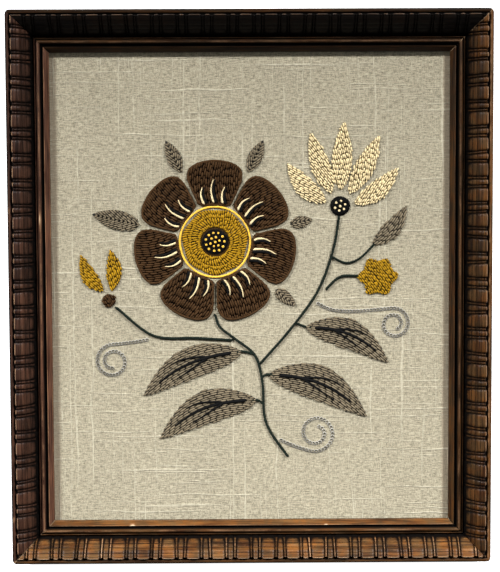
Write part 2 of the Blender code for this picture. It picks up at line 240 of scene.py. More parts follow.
# How much stitches differ, as shares: the length of a row's first stitch and of the rest, widths
# and heights. A row or a last stitch that is shorter than these shares of a stitch isn't sewn
FIRST_STITCH = (0.4, 1.0)
NEXT_STITCH = (0.85, 1.15)
SHORTEST_ROW = 0.3
SHORTEST_STITCH = 0.35
WIDTH_SPREAD = (0.82, 0.98)
HEIGHT_SPREAD = (0.8, 1.2)

# Large flower: petals with square, rounded ends, filled with rows that bow about their middles,
# a ring in two rounds, its cord, and the sepals
FLOWER = Vector((-0.026, 0.034))
PETALS = 7
PETAL_INNER = 0.0265
PETAL_OUTER = 0.0600
PETAL_MARGIN = 0.0011
PETAL_SQUARE = 5
PETAL_ROUND = 0.6
PETAL_ROWS_WIDTH = 0.0580
PETAL_ROWS_BOW = 0.0028
PETAL_EDGE_INSET = 0.035
RING_INNER = 0.0108
RING_OUTER = 0.0238
RING_MARGIN = 0.0004
RING_WAVE = 0.0006
RING_ROUNDS = ((RING_INNER, 0.0180), (0.0176, 0.0252))
RING_SWEEP = 0.14
RING_CORD_GAP = 0.0021
SEPAL_INNER = 0.0565
SEPAL_LEAN = 0.5

# Stripes at a petal's foot: turn from the petal's middle, and how far out they reach
STRIPES = ((-0.24, 0.0410), (0.0, 0.0460), (0.24, 0.0410))
STRIPE_FOOT = 0.0285
STRIPE_GATHER = 0.15
STRIPE_SWAY = 0.05
STRIPE_OFFSETS = {"cream": 0.0008, "black": -0.0010}

# Sepals: the petal before it, how far out its tip is, and its width
Sepal = namedtuple("Sepal", "after_petal outer width")
SEPALS = [Sepal(0, 0.0830, 0.0110), Sepal(1, 0.0930, 0.0150), Sepal(4, 0.0760, 0.0095),
          Sepal(5, 0.0740, 0.0095), Sepal(6, 0.0830, 0.0110)]

# Leaves and petals with a foot and a tip: width, and sideways bow of the middle. They are widest
# a little before their middle, and full at the sides
BLADE_LEAN = 0.85
BLADE_FULLNESS = 0.8
Blade = namedtuple("Blade", "name foot tip width bow wool")
BLADES = [
    Blade("leaf_low_right", (0.0125, -0.0640), (0.0860, -0.0960), 0.0260, 0.0090, "taupe"),
    Blade("leaf_low_left", (0.0050, -0.0830), (-0.0680, -0.1120), 0.0250, -0.0090, "taupe"),
    Blade("leaf_mid_left", (-0.0060, -0.0470), (-0.0800, -0.0800), 0.0240, -0.0080, "taupe"),
    Blade("leaf_mid_right", (0.0400, -0.0290), (0.1020, -0.0560), 0.0220, 0.0080, "taupe"),
    Blade("leaf_high_right", (0.0900, 0.0310), (0.1150, 0.0600), 0.0130, -0.0030, "taupe"),
    Blade("cream_petal_1", (0.0560, 0.0620), (0.0270, 0.0920), 0.0145, 0.0030, "cream"),
    Blade("cream_petal_2", (0.0600, 0.0690), (0.0440, 0.1140), 0.0145, 0.0010, "cream"),
    Blade("cream_petal_3", (0.0665, 0.0710), (0.0690, 0.1220), 0.0150, 0.0000, "cream"),
    Blade("cream_petal_4", (0.0730, 0.0685), (0.0950, 0.1120), 0.0145, -0.0010, "cream"),
    Blade("cream_petal_5", (0.0765, 0.0610), (0.1090, 0.0880), 0.0145, -0.0030, "cream"),
    Blade("bud_petal_left", (-0.1085, -0.0025), (-0.1250, 0.0250), 0.0115, 0.0030, "gold"),
    Blade("bud_petal_right", (-0.1020, -0.0020), (-0.1030, 0.0290), 0.0115, -0.0020, "gold"),
]

# Round areas: centre, radius, lobes and how far they wave in and out
Disc = namedtuple("Disc", "name centre radius lobes wave wool")
DISCS = [
    Disc("flower_heart", tuple(FLOWER), 0.0100, 0, 0, "black"),
    Disc("cream_flower_cup", (0.0660, 0.0600), 0.0075, 0, 0, "black"),
    Disc("gold_flower", (0.0940, 0.0080), 0.0135, 6, 0.0016, "gold"),
    Disc("bud_cup", (-0.1045, -0.0090), 0.0052, 0, 0, "brown"),
]

# Stems, as points on their middle lines
Stem = namedtuple("Stem", "name points")
STEMS = [
    Stem("stem_main", [(0.0260, -0.1240), (0.0110, -0.1000), (0.0085, -0.0700),
                       (0.0030, -0.0500), (-0.0120, -0.0375), (-0.0228, -0.0290),
                       (-0.0257, -0.0215)]),
    Stem("stem_right", [(0.0085, -0.0545), (0.0300, -0.0300), (0.0500, -0.0020),
                        (0.0610, 0.0280), (0.0650, 0.0505)]),
    Stem("stem_gold", [(0.0570, 0.0000), (0.0660, 0.0080), (0.0775, 0.0085)]),
    Stem("stem_bud", [(-0.0155, -0.0385), (-0.0400, -0.0370), (-0.0720, -0.0350),
                      (-0.0980, -0.0150)]),
]

# Stalks from a leaf's foot to its stem
STALKS = [
    [(0.0180, -0.0655), (0.0125, -0.0638), (0.0075, -0.0668)],
    [(0.0000, -0.0842), (0.0050, -0.0828), (0.0092, -0.0870)],
    [(-0.0112, -0.0482), (-0.0060, -0.0468), (0.0015, -0.0490)],
    [(0.0455, -0.0300), (0.0400, -0.0288), (0.0335, -0.0262)],
    [(0.0925, 0.0330), (0.0900, 0.0305), (0.0800, 0.0210), (0.0700, 0.0180), (0.0595, 0.0230)],
]

# Tendrils: a line from a stem into a spiral, which tightens about its centre from a first bearing
Tendril = namedtuple("Tendril", "name lead centre radius end_radius bearing turns")
TENDRILS = [
    Tendril("tendril_low", [(0.0208, -0.1126), (0.0305, -0.1172)],
            (0.0480, -0.1080), 0.0145, 0.0050, 240, 1.6),
    Tendril("tendril_left", [(-0.0750, -0.0378), (-0.0870, -0.0398)],
            (-0.1020, -0.0540), 0.0130, 0.0048, 80, 1.6),
    Tendril("tendril_right", [(0.0485, -0.0110), (0.0600, -0.0165), (0.0780, -0.0175)],
            (0.1060, -0.0270), 0.0120, 0.0045, 110, -1.5),
]

# Wool colours, linear: painted shade for the hollows between the stitches, and painted light for
# their tops
Wool = namedtuple("Wool", "shade light sheen gloss")
WOOLS = {
    "brown": Wool((0.0015, 0.0007, 0.0003), (0.060, 0.030, 0.012), 0.01, 0.05),
    "gold": Wool((0.032, 0.014, 0.0003), (0.385, 0.210, 0.004), 0.03, 0.15),
    "yellow": Wool((0.300, 0.150, 0.008), (0.850, 0.500, 0.050), 0.15, 0.35),
    "cream": Wool((0.190, 0.140, 0.065), (0.770, 0.625, 0.355), 0.06, 0.25),
    "black": Wool((0.0004, 0.0004, 0.0004), (0.004, 0.004, 0.004), 0.0, 0.08),
    "taupe": Wool((0.009, 0.007, 0.004), (0.192, 0.153, 0.096), 0.05, 0.20),
    "green": Wool((0.0005, 0.0010, 0.0006), (0.0075, 0.0135, 0.0090), 0.01, 0.10),
    "grey": Wool((0.060, 0.056, 0.046), (0.520, 0.495, 0.430), 0.12, 0.35),
}

# Rows of stitches that fill an area: how far apart the rows are, a stitch's length, width and
# height, its darkest and palest tone, and how far its ends stray
Fill = namedtuple("Fill", "spacing length width height tones stray")
FILLS = {
    "petal": Fill(0.00170, 0.0058, 0.00172, 0.0015, (0.0, 1.0), 0.00015),
    "sepal": Fill(0.00150, 0.0040, 0.00150, 0.0011, (0.15, 0.95), 0.0001),
    "ring": Fill(0.00170, 0.0040, 0.00165, 0.0014, (0.3, 0.8), 0.0001),
    "leaf": Fill(0.00155, 0.0056, 0.00158, 0.0012, (0.15, 0.95), 0.0001),
    "small_petal": Fill(0.00145, 0.0040, 0.00150, 0.0012, (0.15, 0.95), 0.0002),
    "dark_disc": Fill(0.00110, 0.0090, 0.00120, 0.0010, (0.15, 0.95), 0.0001),
    "disc": Fill(0.00145, 0.0036, 0.00150, 0.0012, (0.15, 0.95), 0.0002),
}

# Rows: how far they turn from a small petal's length, their bearings in the discs, how finely
# they are drawn, and how near a blade's midline its leaning rows start
SMALL_PETAL_LEAN = 0.30
DARK_DISC_BEARING = 1.9
DISC_BEARING = 2.2
ROW_STEP = 0.0003
VEIN_START = 0.0002

# Lines in stem stitch: a stitch's length, how far on the next one starts, width, height, darkest
# and palest tone, how high it lies over the cloth, and how much of the width is left at the end
Rope = namedtuple("Rope", "length pitch width height tones level taper")
ROPES = {
    "petal_edge": Rope(0.0046, 0.0017, 0.0015, 0.0014, (0.3, 0.9), 0.0005, 1.0),
    "cream_stripe": Rope(0.0030, 0.0012, 0.0017, 0.0014, (0.3, 1.0), 0.0019, 0.35),
    "black_stripe": Rope(0.0030, 0.0012, 0.0025, 0.0014, (0.3, 1.0), 0.0019, 0.35),
    "ring_cord": Rope(0.0046, 0.0016, 0.0015, 0.0014, (0.4, 1.0), 0.0001, 1.0),
    "midrib": Rope(0.0050, 0.0018, 0.0026, 0.0014, (0.3, 1.0), 0.0017, 0.3),
    "side_vein": Rope(0.0042, 0.0018, 0.0018, 0.0013, (0.3, 1.0), 0.0017, 0.35),
    "stem": Rope(0.0038, 0.0019, 0.0018, 0.0017, (0.1, 1.0), 0.0001, 1.0),
    "stalk": Rope(0.0036, 0.0019, 0.0016, 0.0015, (0.1, 1.0), 0.0002, 1.0),
}

# Ropes: how far a stitch's ends lie to either side, as a share of its width, how much widths and
# heights differ, and how far a stem is sewn past its ends
ROPE_SHIFT = 0.26
ROPE_WIDTHS = (0.92, 1.08)
ROPE_HEIGHTS = (0.9, 1.1)
STEM_OVERRUN = 0.0026

# Veins, as shares of a leaf's length and width
VEINED_WIDTH = 0.02
MIDRIB_RUN = (0.10, 0.82)
SIDE_VEIN_RUN = (0.30, 0.66)
SIDE_VEIN_SPREAD = 0.30
SIDE_VEIN_SHARE = 0.8

# Knots about a centre: rings of them, as radius and number. A ring is turned by so many radians
# for each metre of its radius, half a knot is so wide, and a knot 1 wide is a ring so thick
KnotGroup = namedtuple("KnotGroup", "name centre rings wool slot")
KNOTS = [
    KnotGroup("heart_knots", FLOWER, ((0, 1), (0.0035, 6), (0.0068, 11)), "yellow", "wool_gold"),
    KnotGroup("cup_knots", Vector((0.0660, 0.0600)), ((0, 1), (0.0038, 6)), "cream", "wool_cream"),
]
KNOT_TURN = 90
KNOT_STRAY = 0.00015
KNOT_LEVEL = 0.0014
KNOT_HALF = (0.00085, 0.00100)
KNOT_TALL = 2.2
KNOT_TONES = (0.4, 1.0)
KNOT_RING = 0.26
KNOT_THICK = 0.24

# Chain stitch of the tendrils: a link reaches into the next one. A link 1 long and 1 wide is a
# ring so thick, narrower at its foot, stretched upwards and lower at its foot
LINK_PITCH = 0.0025
LINK_LENGTH = 0.0034
LINK_WIDTH = 0.0031
LINK_HEIGHT = 0.0011
LINK_END = 0.0026
LINK_TONES = (0.3, 0.95)
LINK_RING = 0.36
LINK_THICK = 0.14
LINK_FOOT = 0.55
LINK_STRETCH = 2.2

# Studio: the camera's place in metres and its turn in degrees, and the lamps by their bearings
CAMERA_PLACE = (-0.00606, 0.0620, 1.00024)
CAMERA_TURN = (-3.487, -0.341, -0.251)
CAMERA_LENS = 85.07
LAMPS = {"left_lamp": (-0.627, 0.493, 0.600), "right_lamp": (0.563, 0.520, 0.634)}
LAMP_TARGET = (0, -0.26, 0)
LAMP_DISTANCE = 3.0
LAMP_SIZE = 0.60
LAMP_POWER = 3.6
LAMP_SPREAD = 25
ROOM_LIGHT = 0.16
FLOOR_SIZE = 8

rng = np.random.default_rng(11)


# Shader sums

class Wire:
    """One output of a material's nodes, which goes into sums as a number does."""

    def __init__(self, recipe, socket):
        self.recipe = recipe
        self.socket = socket

    def math(self, operation, first, second):
        """One Math node on two numbers or wires."""
        return self.recipe.node("ShaderNodeMath", {"operation": operation}, {0: first, 1: second})

    def __add__(self, other):
        return self.math("ADD", self, other)

    def __radd__(self, other):
        return self.math("ADD", other, self)

    def __sub__(self, other):
        return self.math("SUBTRACT", self, other)

    def __rsub__(self, other):
        return self.math("SUBTRACT", other, self)

    def __mul__(self, other):
        return self.math("MULTIPLY", self, other)

    def __rmul__(self, other):
        return self.math("MULTIPLY", other, self)

    def alone(self, operation):
        """One Math node on this wire by itself, such as its sine."""
        return self.recipe.node("ShaderNodeMath", {"operation": operation}, {0: self})


class Recipe:
    """The nodes of one material."""

    def __init__(self, name):
        self.material = bpy.data.materials.new(name)
        self.material.use_nodes = True
        self.tree = self.material.node_tree
        self.shader = self.tree.nodes["Principled BSDF"]

    def node(self, kind, settings, sockets, output=0):
        """Add a node, set it up, fill its sockets with values or wires and return an output."""
        node = self.tree.nodes.new(kind)
        for name, value in settings.items():
            if name == "stops":
                self.set_ramp(node.color_ramp, value)
            else:
                setattr(node, name, value)
        for key, value in sockets.items():
            self.fill(node.inputs[key], value)
        return Wire(self, node.outputs[output])

    def set_ramp(self, ramp, stops):
        """Give a ramp its stops."""
        while len(ramp.elements) < len(stops):
            ramp.elements.new(1)
        for element, (place, colour) in zip(ramp.elements, stops):
            element.position = place
            element.color = (*colour, 1)

    def fill(self, socket, value):
        """Put a wire, a number or a colour on a socket."""
        if isinstance(value, Wire):
            self.tree.links.new(value.socket, socket)
        elif isinstance(value, tuple) and socket.type == "RGBA":
            socket.default_value = (*value, 1)
        else:
            socket.default_value = value

    def place(self):
        """Object coordinates, in metres."""
        return self.node("ShaderNodeTexCoord", {}, {}, "Object")

    def stretch(self, vector, x, y, z):
        """A vector stretched along each axis."""
        return self.node("ShaderNodeVectorMath", {"operation": "MULTIPLY"},
                         {0: vector, 1: (x, y, z)})

    def part(self, vector, axis):
        """One axis of a vector."""
        return self.node("ShaderNodeSeparateXYZ", {}, {0: vector}, axis)

    def noise(self, vector, scale, detail=2.0, roughness=0.5):
        """Noise about one half."""
        return self.node("ShaderNodeTexNoise", {}, {
            "Vector": vector, "Scale": scale, "Detail": detail, "Roughness": roughness})

    def window(self, value, low, high):
        """Zero below low, one above high and a smooth slope between."""
        return self.node("ShaderNodeMapRange", {"interpolation_type": "SMOOTHSTEP"}, {
            "Value": value, "From Min": low, "From Max": high})

    def mix(self, share, first, second):
        """A colour between two."""
        return self.node("ShaderNodeMix", {"data_type": "RGBA"}, {0: share, 6: first, 7: second}, 2)

    def tint(self, colour, factor):
        """A colour made darker or lighter by a number."""
        return self.node("ShaderNodeVectorMath", {"operation": "SCALE"}, {0: colour, 3: factor})

    def attribute(self, name, output):
        """A value stored on the mesh."""
        return self.node("ShaderNodeAttribute", {"attribute_name": name}, {}, output)

    def finish(self, colour, roughness, height=None, depth=0.0002, strength=1.0, **constants):
        """Join colour, roughness and relief to the shader and return the material."""
        self.fill(self.shader.inputs["Base Color"], colour)
        self.fill(self.shader.inputs["Roughness"], roughness)
        for name, value in constants.items():
            self.shader.inputs[name.replace("_", " ")].default_value = value
        if height is not None:
            relief = self.node("ShaderNodeBump", {}, {
                "Strength": strength, "Distance": depth, "Height": height})
            self.fill(self.shader.inputs["Normal"], relief)
        return self.material

    def lay_over(self, share, colour, roughness, **constants):
        """Cover the finish with a second, plain one where share is one."""
        cover = self.tree.nodes.new("ShaderNodeBsdfPrincipled")
        self.fill(cover.inputs["Base Color"], colour)
        self.fill(cover.inputs["Roughness"], roughness)
        for name, value in constants.items():
            cover.inputs[name.replace("_", " ")].default_value = value
        both = self.node("ShaderNodeMixShader", {}, {
            0: share, 1: Wire(self, self.shader.outputs[0]), 2: Wire(self, cover.outputs[0])})
        self.fill(self.tree.nodes["Material Output"].inputs["Surface"], both)
        return self.material


def make_walnut():
    """Walnut stain under semi-gloss varnish: grain along the rail, grime with painted shade in hollows,
    rubbed edges with painted highlights, and painted light and shade per rail.
    """
    recipe = Recipe("walnut_stain")
    along = recipe.node("ShaderNodeUVMap", {"uv_map": "rail"}, {})
    wear = recipe.attribute("wear", "Vector")
    grime_and_shade = recipe.part(wear, "X")
    rubbed_and_highlit = recipe.part(wear, "Y")
    stain_and_light = recipe.part(wear, "Z")
    streak = recipe.noise(recipe.stretch(along, 45, 1500, 1), 1, 3.0, 0.6)
    figure = recipe.noise(recipe.stretch(along, 16, 190, 1), 1, 3.0, 0.55)
    speck = recipe.noise(recipe.place(), 900, 2.0, 0.5)
    patch = recipe.noise(recipe.place(), 110, 3.0, 0.6)
    grain = recipe.window(streak * 0.55 + figure * 0.45, 0.38, 0.64)
    red, olive, mauve = (recipe.mix(grain, *tones) for tones in (RED_GRAIN, OLIVE_GRAIN, MAUVE_GRAIN))
    wood = recipe.mix(recipe.window(patch, 0.36, 0.64), olive, red)
    # Painted light: the left rail turns mauve for the cooler light that falls on it
    on_left_rail = recipe.window(recipe.part(along, "X"), 200, 250)
    wood = recipe.mix(on_left_rail * 0.75, wood, mauve)
    # Painted light and shade per rail, carried with the stain: pale on the bottom rail, near black on
    # the top one's carving
    wood = recipe.tint(wood, stain_and_light)
    worn = recipe.window(recipe.noise(recipe.stretch(along, 55, 300, 1), 1, 3.0, 0.6), 0.3, 0.7)
    # Wear and painted highlight: rubbed edges and crests paler, the brightest as bare wood
    thin_and_highlit = recipe.window(rubbed_and_highlit * (worn * 0.5 + 0.35) + speck * 0.35, 0.42, 0.95)
    wood = recipe.mix(thin_and_highlit * 0.75, wood, recipe.tint(RUBBED_AND_HIGHLIT_WOOD, stain_and_light * 0.7 + 0.3))
    wood = recipe.mix(recipe.window(rubbed_and_highlit, 1.3, 1.9), wood, BARE_AND_HIGHLIT_WOOD)
    wood = recipe.mix(mitre_line(recipe) * 0.8, wood, MITRE_FILLER)
    # Painted shade as well as grime: the hollows, cuts and block ends turn near black
    dirt = recipe.window(grime_and_shade + (speck - 0.5) * 0.5, 0.15, 0.95)
    colour = recipe.mix(dirt * 0.9, wood, GRIME_AND_SHADE_COLOUR)
    height = streak * 0.7 + speck * 0.3 + patch * 0.4
    recipe.finish(colour, 0.36 + streak * 0.15, height, 0.00022, 0.6, Specular_IOR_Level=0.14,
                  Coat_Weight=0.03, Coat_Roughness=0.25)
    # Painted shade: where the grime mask is full, a dull finish without shine takes over
    return recipe.lay_over(dirt, GRIME_AND_SHADE_FINISH, 0.85, Specular_IOR_Level=0.05)


def mitre_line(recipe):
    """A pale thread of filler in the mitres at the bottom left and the top right."""
    place = recipe.place()
    x = recipe.part(place, "X")
    lead = x - recipe.part(place, "Y")
    side = recipe.window(x, -0.01, 0.01) * 2 - 1
    away = (lead + side * ((OUTER_HEIGHT - OUTER_WIDTH) / 2)).alone("ABSOLUTE")
    return 1 - recipe.window(away, *MITRE_LINE)


def make_linen():
    """Plain-weave linen with thick and thin yarns, thrown slubs and a few dark flecks."""
    recipe = Recipe("slub_linen")
    place = recipe.place()
    drift = recipe.noise(recipe.stretch(place, 28, 28, 1), 1, 1.0) * 0.004
    x = recipe.part(place, "X") + drift
    y = recipe.part(place, "Y") + drift
    weft = recipe.noise(recipe.stretch(place, 230, 1350, 1), 1, 2.0, 0.6)
    warp = recipe.noise(recipe.stretch(place, 1350, 260, 1), 1, 2.0, 0.6)
    mottle = recipe.noise(place, 1700, 2.0, 0.75)
    cloud = recipe.noise(place, 16, 3.0, 0.55)
    slub_weft = slub_field(recipe, x, y, 9, 560, 3.1)
    slub_warp = slub_field(recipe, y, x, 7, 500, 9.7)
    slub = recipe.node("ShaderNodeMath", {"operation": "MAXIMUM"}, {0: slub_weft, 1: slub_warp})
    weave = (x * (2 * pi / THREAD_PITCH)).alone("SINE") * (y * (2 * pi / THREAD_PITCH)).alone("SINE")
    tone = weft * 0.40 + warp * 0.24 + mottle * 0.36 + weave * 0.03
    cloth = recipe.mix(recipe.window(tone, 0.36, 0.62), LINEN_SHADE, LINEN_LIGHT)
    # Painted light and shade in the strips of shadow at the opening's edges
    cloth = edge_painted_light(recipe, place, recipe.tint(cloth, 0.88 + cloud * 0.20))
    uneven = recipe.window(recipe.noise(place, 260, 2.0, 0.6), 0.25, 0.7)
    colour = recipe.mix(slub * (uneven * 0.42 + 0.18), cloth, SLUB_COLOUR)
    fleck = recipe.window(recipe.noise(place, 420, 1.0), 0.78, 0.83)
    colour = recipe.mix(fleck * 0.6, colour, FLECK_COLOUR)
    height = weft * 0.8 + warp * 0.8 + mottle * 0.6 + slub * 1.3 + weave * 0.25
    return recipe.finish(colour, 0.92, height, 0.00035, 0.8, Sheen_Weight=0.15)


def edge_painted_light(recipe, place, cloth):
    """Painted light on the cloth: a warm brown tint in the shade beside the two upright rails, and a
    paler band in the shade beside the top one.
    """
    side = recipe.part(place, "X").alone("ABSOLUTE")
    brown = recipe.window(side, *(SIGHT_WIDTH / 2 - inset for inset in WARM_SHADE_SIDES))
    # Painted warm bounce light in the shadow beside the upright rails
    cloth = recipe.mix(brown * 0.55, cloth, LINEN_WARM_SHADE)
    upward = recipe.part(place, "Y")
    pale = recipe.window(upward, *(SIGHT_HEIGHT / 2 - inset for inset in PAINTED_LIGHT_TOP))
    # Painted light lifts the shadow under the top rail
    return recipe.tint(cloth, 1 + pale * 0.7)


def slub_field(recipe, run, across, slow, fast, seed):
    """Long thin streaks along one direction."""
    vector = recipe.node("ShaderNodeCombineXYZ", {}, {
        "X": run * slow, "Y": across * fast, "Z": seed})
    streaks = recipe.noise(vector, 1, 2.0, 0.55)
    return recipe.window(streaks, 0.60, 0.69)


def make_wool(name):
    """Crewel yarn: two plies that wind round each other, painted paler on top and darker on the flanks,
    with fine hairs.
    """
    wool = WOOLS[name]
    recipe = Recipe("wool_yarn_" + name)
    strand = recipe.attribute("strand", "Vector")
    run = recipe.part(strand, "X")
    turn = recipe.part(strand, "Y")
    tone = recipe.part(strand, "Z")
    twist = (run * (2 * pi / PLY_TWIST) + turn * 2).alone("SINE")
    # Painted light and shade: paler where a stitch faces up, darker on its flanks and in the hollows
    painted_top_light = turn.alone("COSINE")
    hairs = recipe.noise(recipe.place(), 2600, 2.0, 0.6)
    patch = recipe.noise(recipe.place(), 60, 2.0, 0.5)
    share = tone * 0.30 + painted_top_light * 0.50 + twist * 0.07 + hairs * 0.25 + (patch - 0.5) * 0.25
    colour = recipe.mix(recipe.window(share, 0.05, 0.95), wool.shade, wool.light)
    height = twist * 0.35 + hairs * 0.6
    return recipe.finish(colour, 0.72, height, 0.00012, 0.8, Sheen_Weight=wool.sheen,
                         Sheen_Roughness=0.45, Specular_IOR_Level=wool.gloss)


def make_hardboard():
    """Plain hardboard: brown pressed fibres with the fine print of a screen."""
    recipe = Recipe("pressed_board")
    place = recipe.place()
    fibres = recipe.noise(place, 650, 4.0, 0.65)
    cloud = recipe.noise(place, 22, 3.0, 0.5)
    x, y = ((recipe.part(place, axis) * (2 * pi / SCREEN_PITCH)).alone("SINE") for axis in "XY")
    colour = recipe.mix(recipe.window(fibres * 0.7 + cloud * 0.3, 0.3, 0.7), BOARD_DARK, BOARD_PALE)
    height = fibres * 0.6 + x * y * 0.3
    return recipe.finish(colour, 0.85, height, 0.0003, 0.7)


def make_floor_paint():
    """A white studio floor."""
    recipe = Recipe("white_floor")
    tone = recipe.noise(recipe.place(), 3, 2.0)
    colour = recipe.mix(tone, (0.93, 0.93, 0.93), (0.95, 0.95, 0.95))
    return recipe.finish(colour, 0.9, Emission_Color=(1, 1, 1, 1), Emission_Strength=0.95)


# Making and placing pieces

def start(add, **settings):
    """Add a primitive with nothing else selected."""
    bpy.ops.object.select_all(action="DESELECT")
    add(**settings)
    return bpy.context.object


def corners(item):
    """The places of a piece's vertices, as rows."""
    places = np.empty(len(item.data.vertices) * 3)
    item.data.vertices.foreach_get("co", places)
    return places.reshape(-1, 3)


def move_corners(item, places):
    """Put a piece's vertices in new places."""
    item.data.vertices.foreach_set("co", np.asarray(places, dtype=float).ravel())
    item.data.update()


def settle(item, name, material, nodes):
    """Name a finished piece, give it its material, and fix it to the frame."""
    item.name = name
    item.data.name = name
    item.data.materials.clear()
    item.data.materials.append(material)
    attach(item, "root")
    if nodes:
        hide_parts(*nodes)
    return item


# Carved rails

def carving_stations(rail):
    """Rows along a rail: place, sink, nearness to a block's end, slant, tone, crest highlight and dirt
    with painted shade.
    """
    rows = []
    reach = rail.length / 2 + REPEAT
    centre = rail.narrow_at - REPEAT * int(reach / REPEAT + 1)
    slant = 0
    while centre < reach:
        for block, middle in ((NARROW, centre), (WIDE, centre + REPEAT / 2)):
            half = block.length / 2
            tone = rng.uniform(*BLOCK_TONES)
            sunk = rng.uniform(0, BLOCK_SINK)
            following = rng.normal(0, CUT_SLANT)
            for step in block.steps:
                lean = slant + (following - slant) * (step + 1) / 2
                shoulder = abs(step) ** block.squareness
                rows.append((middle + step * half, shoulder * BRINK_DEPTH + sunk, shoulder,
                             lean, tone, 0, 0))
            slant = following
            deep = CUT_DEPTH * rng.uniform(*CUT_SPREAD)
            bright = rng.uniform(*CREST_SPREAD)
            for step in RIDGE_STEPS:
                sink = deep if step.dirt == 1 else RIDGE_DEPTH + step.sink * RIDGE_SLOPE
                rows.append((middle + half + step.run * CUT_WIDTH, sink, 1, slant, tone,
                             step.crest * bright, step.dirt))
        centre += REPEAT
    return np.array(rows)


def section_rows():
    """The moulding's columns: distance in and height in metres, and three shares."""
    across, height, carved, grime_and_shade, rubbed_and_highlit = np.array(MOULDING, dtype=float).T
    return np.array([across / TENTHS, height / TENTHS, carved, grime_and_shade, rubbed_and_highlit])


def carve_rail(rail):
    """A grid wrapped round the moulding's section and sunk at each cut, not yet mitred."""
    section = section_rows()
    stations = carving_stations(rail).T
    last, around = stations.shape[1] - 1, section.shape[1]
    item = start(bpy.ops.mesh.primitive_grid_add, x_subdivisions=last, y_subdivisions=around, size=2)
    grid = corners(item)
    column = np.rint((grid[:, 0] + 1) / 2 * last).astype(int)
    row = np.rint((1 - grid[:, 1]) / 2 * around).astype(int)
    local = sink_cuts(section[:, row % around], stations[:, column])
    wear = rail_wear(rail, section[:, row % around], stations[:, column])
    wear[1] += knock_marks(rail, local)
    move_corners(item, turn_rail(rail, local))
    store(item, "wear", wear.T)
    girth = np.concatenate([[0], np.hypot(*np.diff(section[:2])).cumsum()])
    closed = np.append(girth, girth[-1] + CLOSING_STRIP)
    lay_out(item, stations[0][column] + rail.turn, closed[row])
    return item


def slope(values, first, reach):
    """Zero up to first, and one from a reach further on."""
    return np.clip((values - first) / reach, 0, 1)


def sink_cuts(section, station):
    """Places along, across and above a rail, with the carver's cuts taken out."""
    across, height, carved = section[:3]
    place, sink, shoulder, slant = station[:4]
    back = (1 - slope(across, BLOCK_BACK, BLOCK_BACK_REACH)) * (carved > 0)
    tongue = slope(across, TONGUE, TONGUE_REACH) ** 2 * (carved > 0)
    lean = slant * (across - CARVING_MIDDLE) * SLANT_SHARE
    inset = across + back * shoulder ** 2 * END_INSET
    level = height - carved * sink - tongue * shoulder * TONGUE_DEPTH
    return np.stack([place + lean, inset, level], axis=1)


def rail_wear(rail, section, station):
    """Dirt with painted shade, bareness with painted highlights, and paleness of the stain with each
    rail's painted light and shade, at a rail's points, before any knocks.
    """
    across, _, carved, grime_and_shade, rubbed_and_highlit = section
    _, _, shoulder, _, tone, ridge, cut = station
    inner = slope(across, INNER_SHADE, INNER_SHADE_REACH) ** 3
    # Painted shade with dirt: darker towards a block's ends and the band's inner side, beside the
    # ridges and in the cuts
    border = np.clip(shoulder ** END_DIRT_AND_SHADE_POWER * END_DIRT_AND_SHADE_REACH + inner, 0, 1) * (ridge == 0)
    dull = np.where(ridge > 0, RIDGE_DIRT_AND_SHADE - CREST_CLEAN * ridge, cut * CUT_DIRT_AND_SHADE)
    # Painted shade on the rim's outer round, stronger where a rail's rim is drawn darker
    brink = np.where(across < RIM_BRINK, 1 / rail.rim, 1)
    dirt = np.maximum(grime_and_shade * brink, carved * np.maximum(border * END_DIRT_AND_SHADE, dull))
    # Wear and painted highlight on crests, bead and lip, less at a block's ends
    crest = rubbed_and_highlit * np.where(carved > 0, rail.crest * (1 - END_WEAR_AND_HIGHLIGHT_LOST * shoulder), 1)
    crest *= np.where(across < RIM_END, rail.rim, 1)
    crest *= np.where(across > LIP, min(rail.lip, 1), 1)
    # Painted highlight caught on the ridges' crests
    catch = carved * ridge * rail.carved ** 3 * RIDGE_CATCH * (1 - INNER_CATCH_LOST * inner)
    # Each rail's factors hold its painted light and shade as well as its stain
    smooth = rail.smooth * np.where(across < RIM_END, rail.rim, BEAD_STAIN)
    smooth = np.where(across < BEAD_END, smooth, rail.lip)
    stain_and_light = np.where(carved > 0, rail.carved * tone, smooth)
    return np.array([dirt, np.maximum(crest, catch), stain_and_light])


def knock_marks(rail, local):
    """How bare the wood is round each knock, on a rail's own places."""
    marks = np.zeros(len(local))
    for knock in KNOCKS:
        if knock.rail == rail.name:
            along = (local[:, 0] - knock.along) / knock.length
            across = (local[:, 1] - knock.across) / KNOCK_WIDTH
            marks = np.maximum(marks, knock.bare * np.exp(-(along ** 2 + across ** 2)))
    return marks


def turn_rail(rail, local):
    """Places along and across a rail turned into the frame's own."""
    turn = radians(rail.turn)
    x = local[:, 0] * cos(turn) - local[:, 1] * sin(turn) + rail.offset * sin(turn)
    y = local[:, 0] * sin(turn) + local[:, 1] * cos(turn) - rail.offset * cos(turn)
    return np.stack([x, y, local[:, 2]], axis=1)


def store(item, name, vectors):
    """Keep three numbers at each vertex."""
    layer = item.data.attributes.new(name, "FLOAT_VECTOR", "POINT")
    layer.data.foreach_set("vector", np.asarray(vectors, dtype=float).ravel())


def lay_out(item, along, girth):
    """Unroll a rail's surface onto its UV map, in metres, with the rail's turn added along it."""
    layer = item.data.uv_layers[0]
    layer.name = "rail"
    used = np.empty(len(item.data.loops), dtype=int)
    item.data.loops.foreach_get("vertex_index", used)
    layer.data.foreach_set("uv", np.stack([along[used], girth[used]], axis=1).ravel())


def slice_off(point, direction):
    """Cut all that is selected in edit mode with a plane and close the cut."""
    bpy.ops.mesh.select_all(action="SELECT")
    bpy.ops.mesh.bisect(plane_co=point, plane_no=direction, use_fill=True, clear_outer=True)


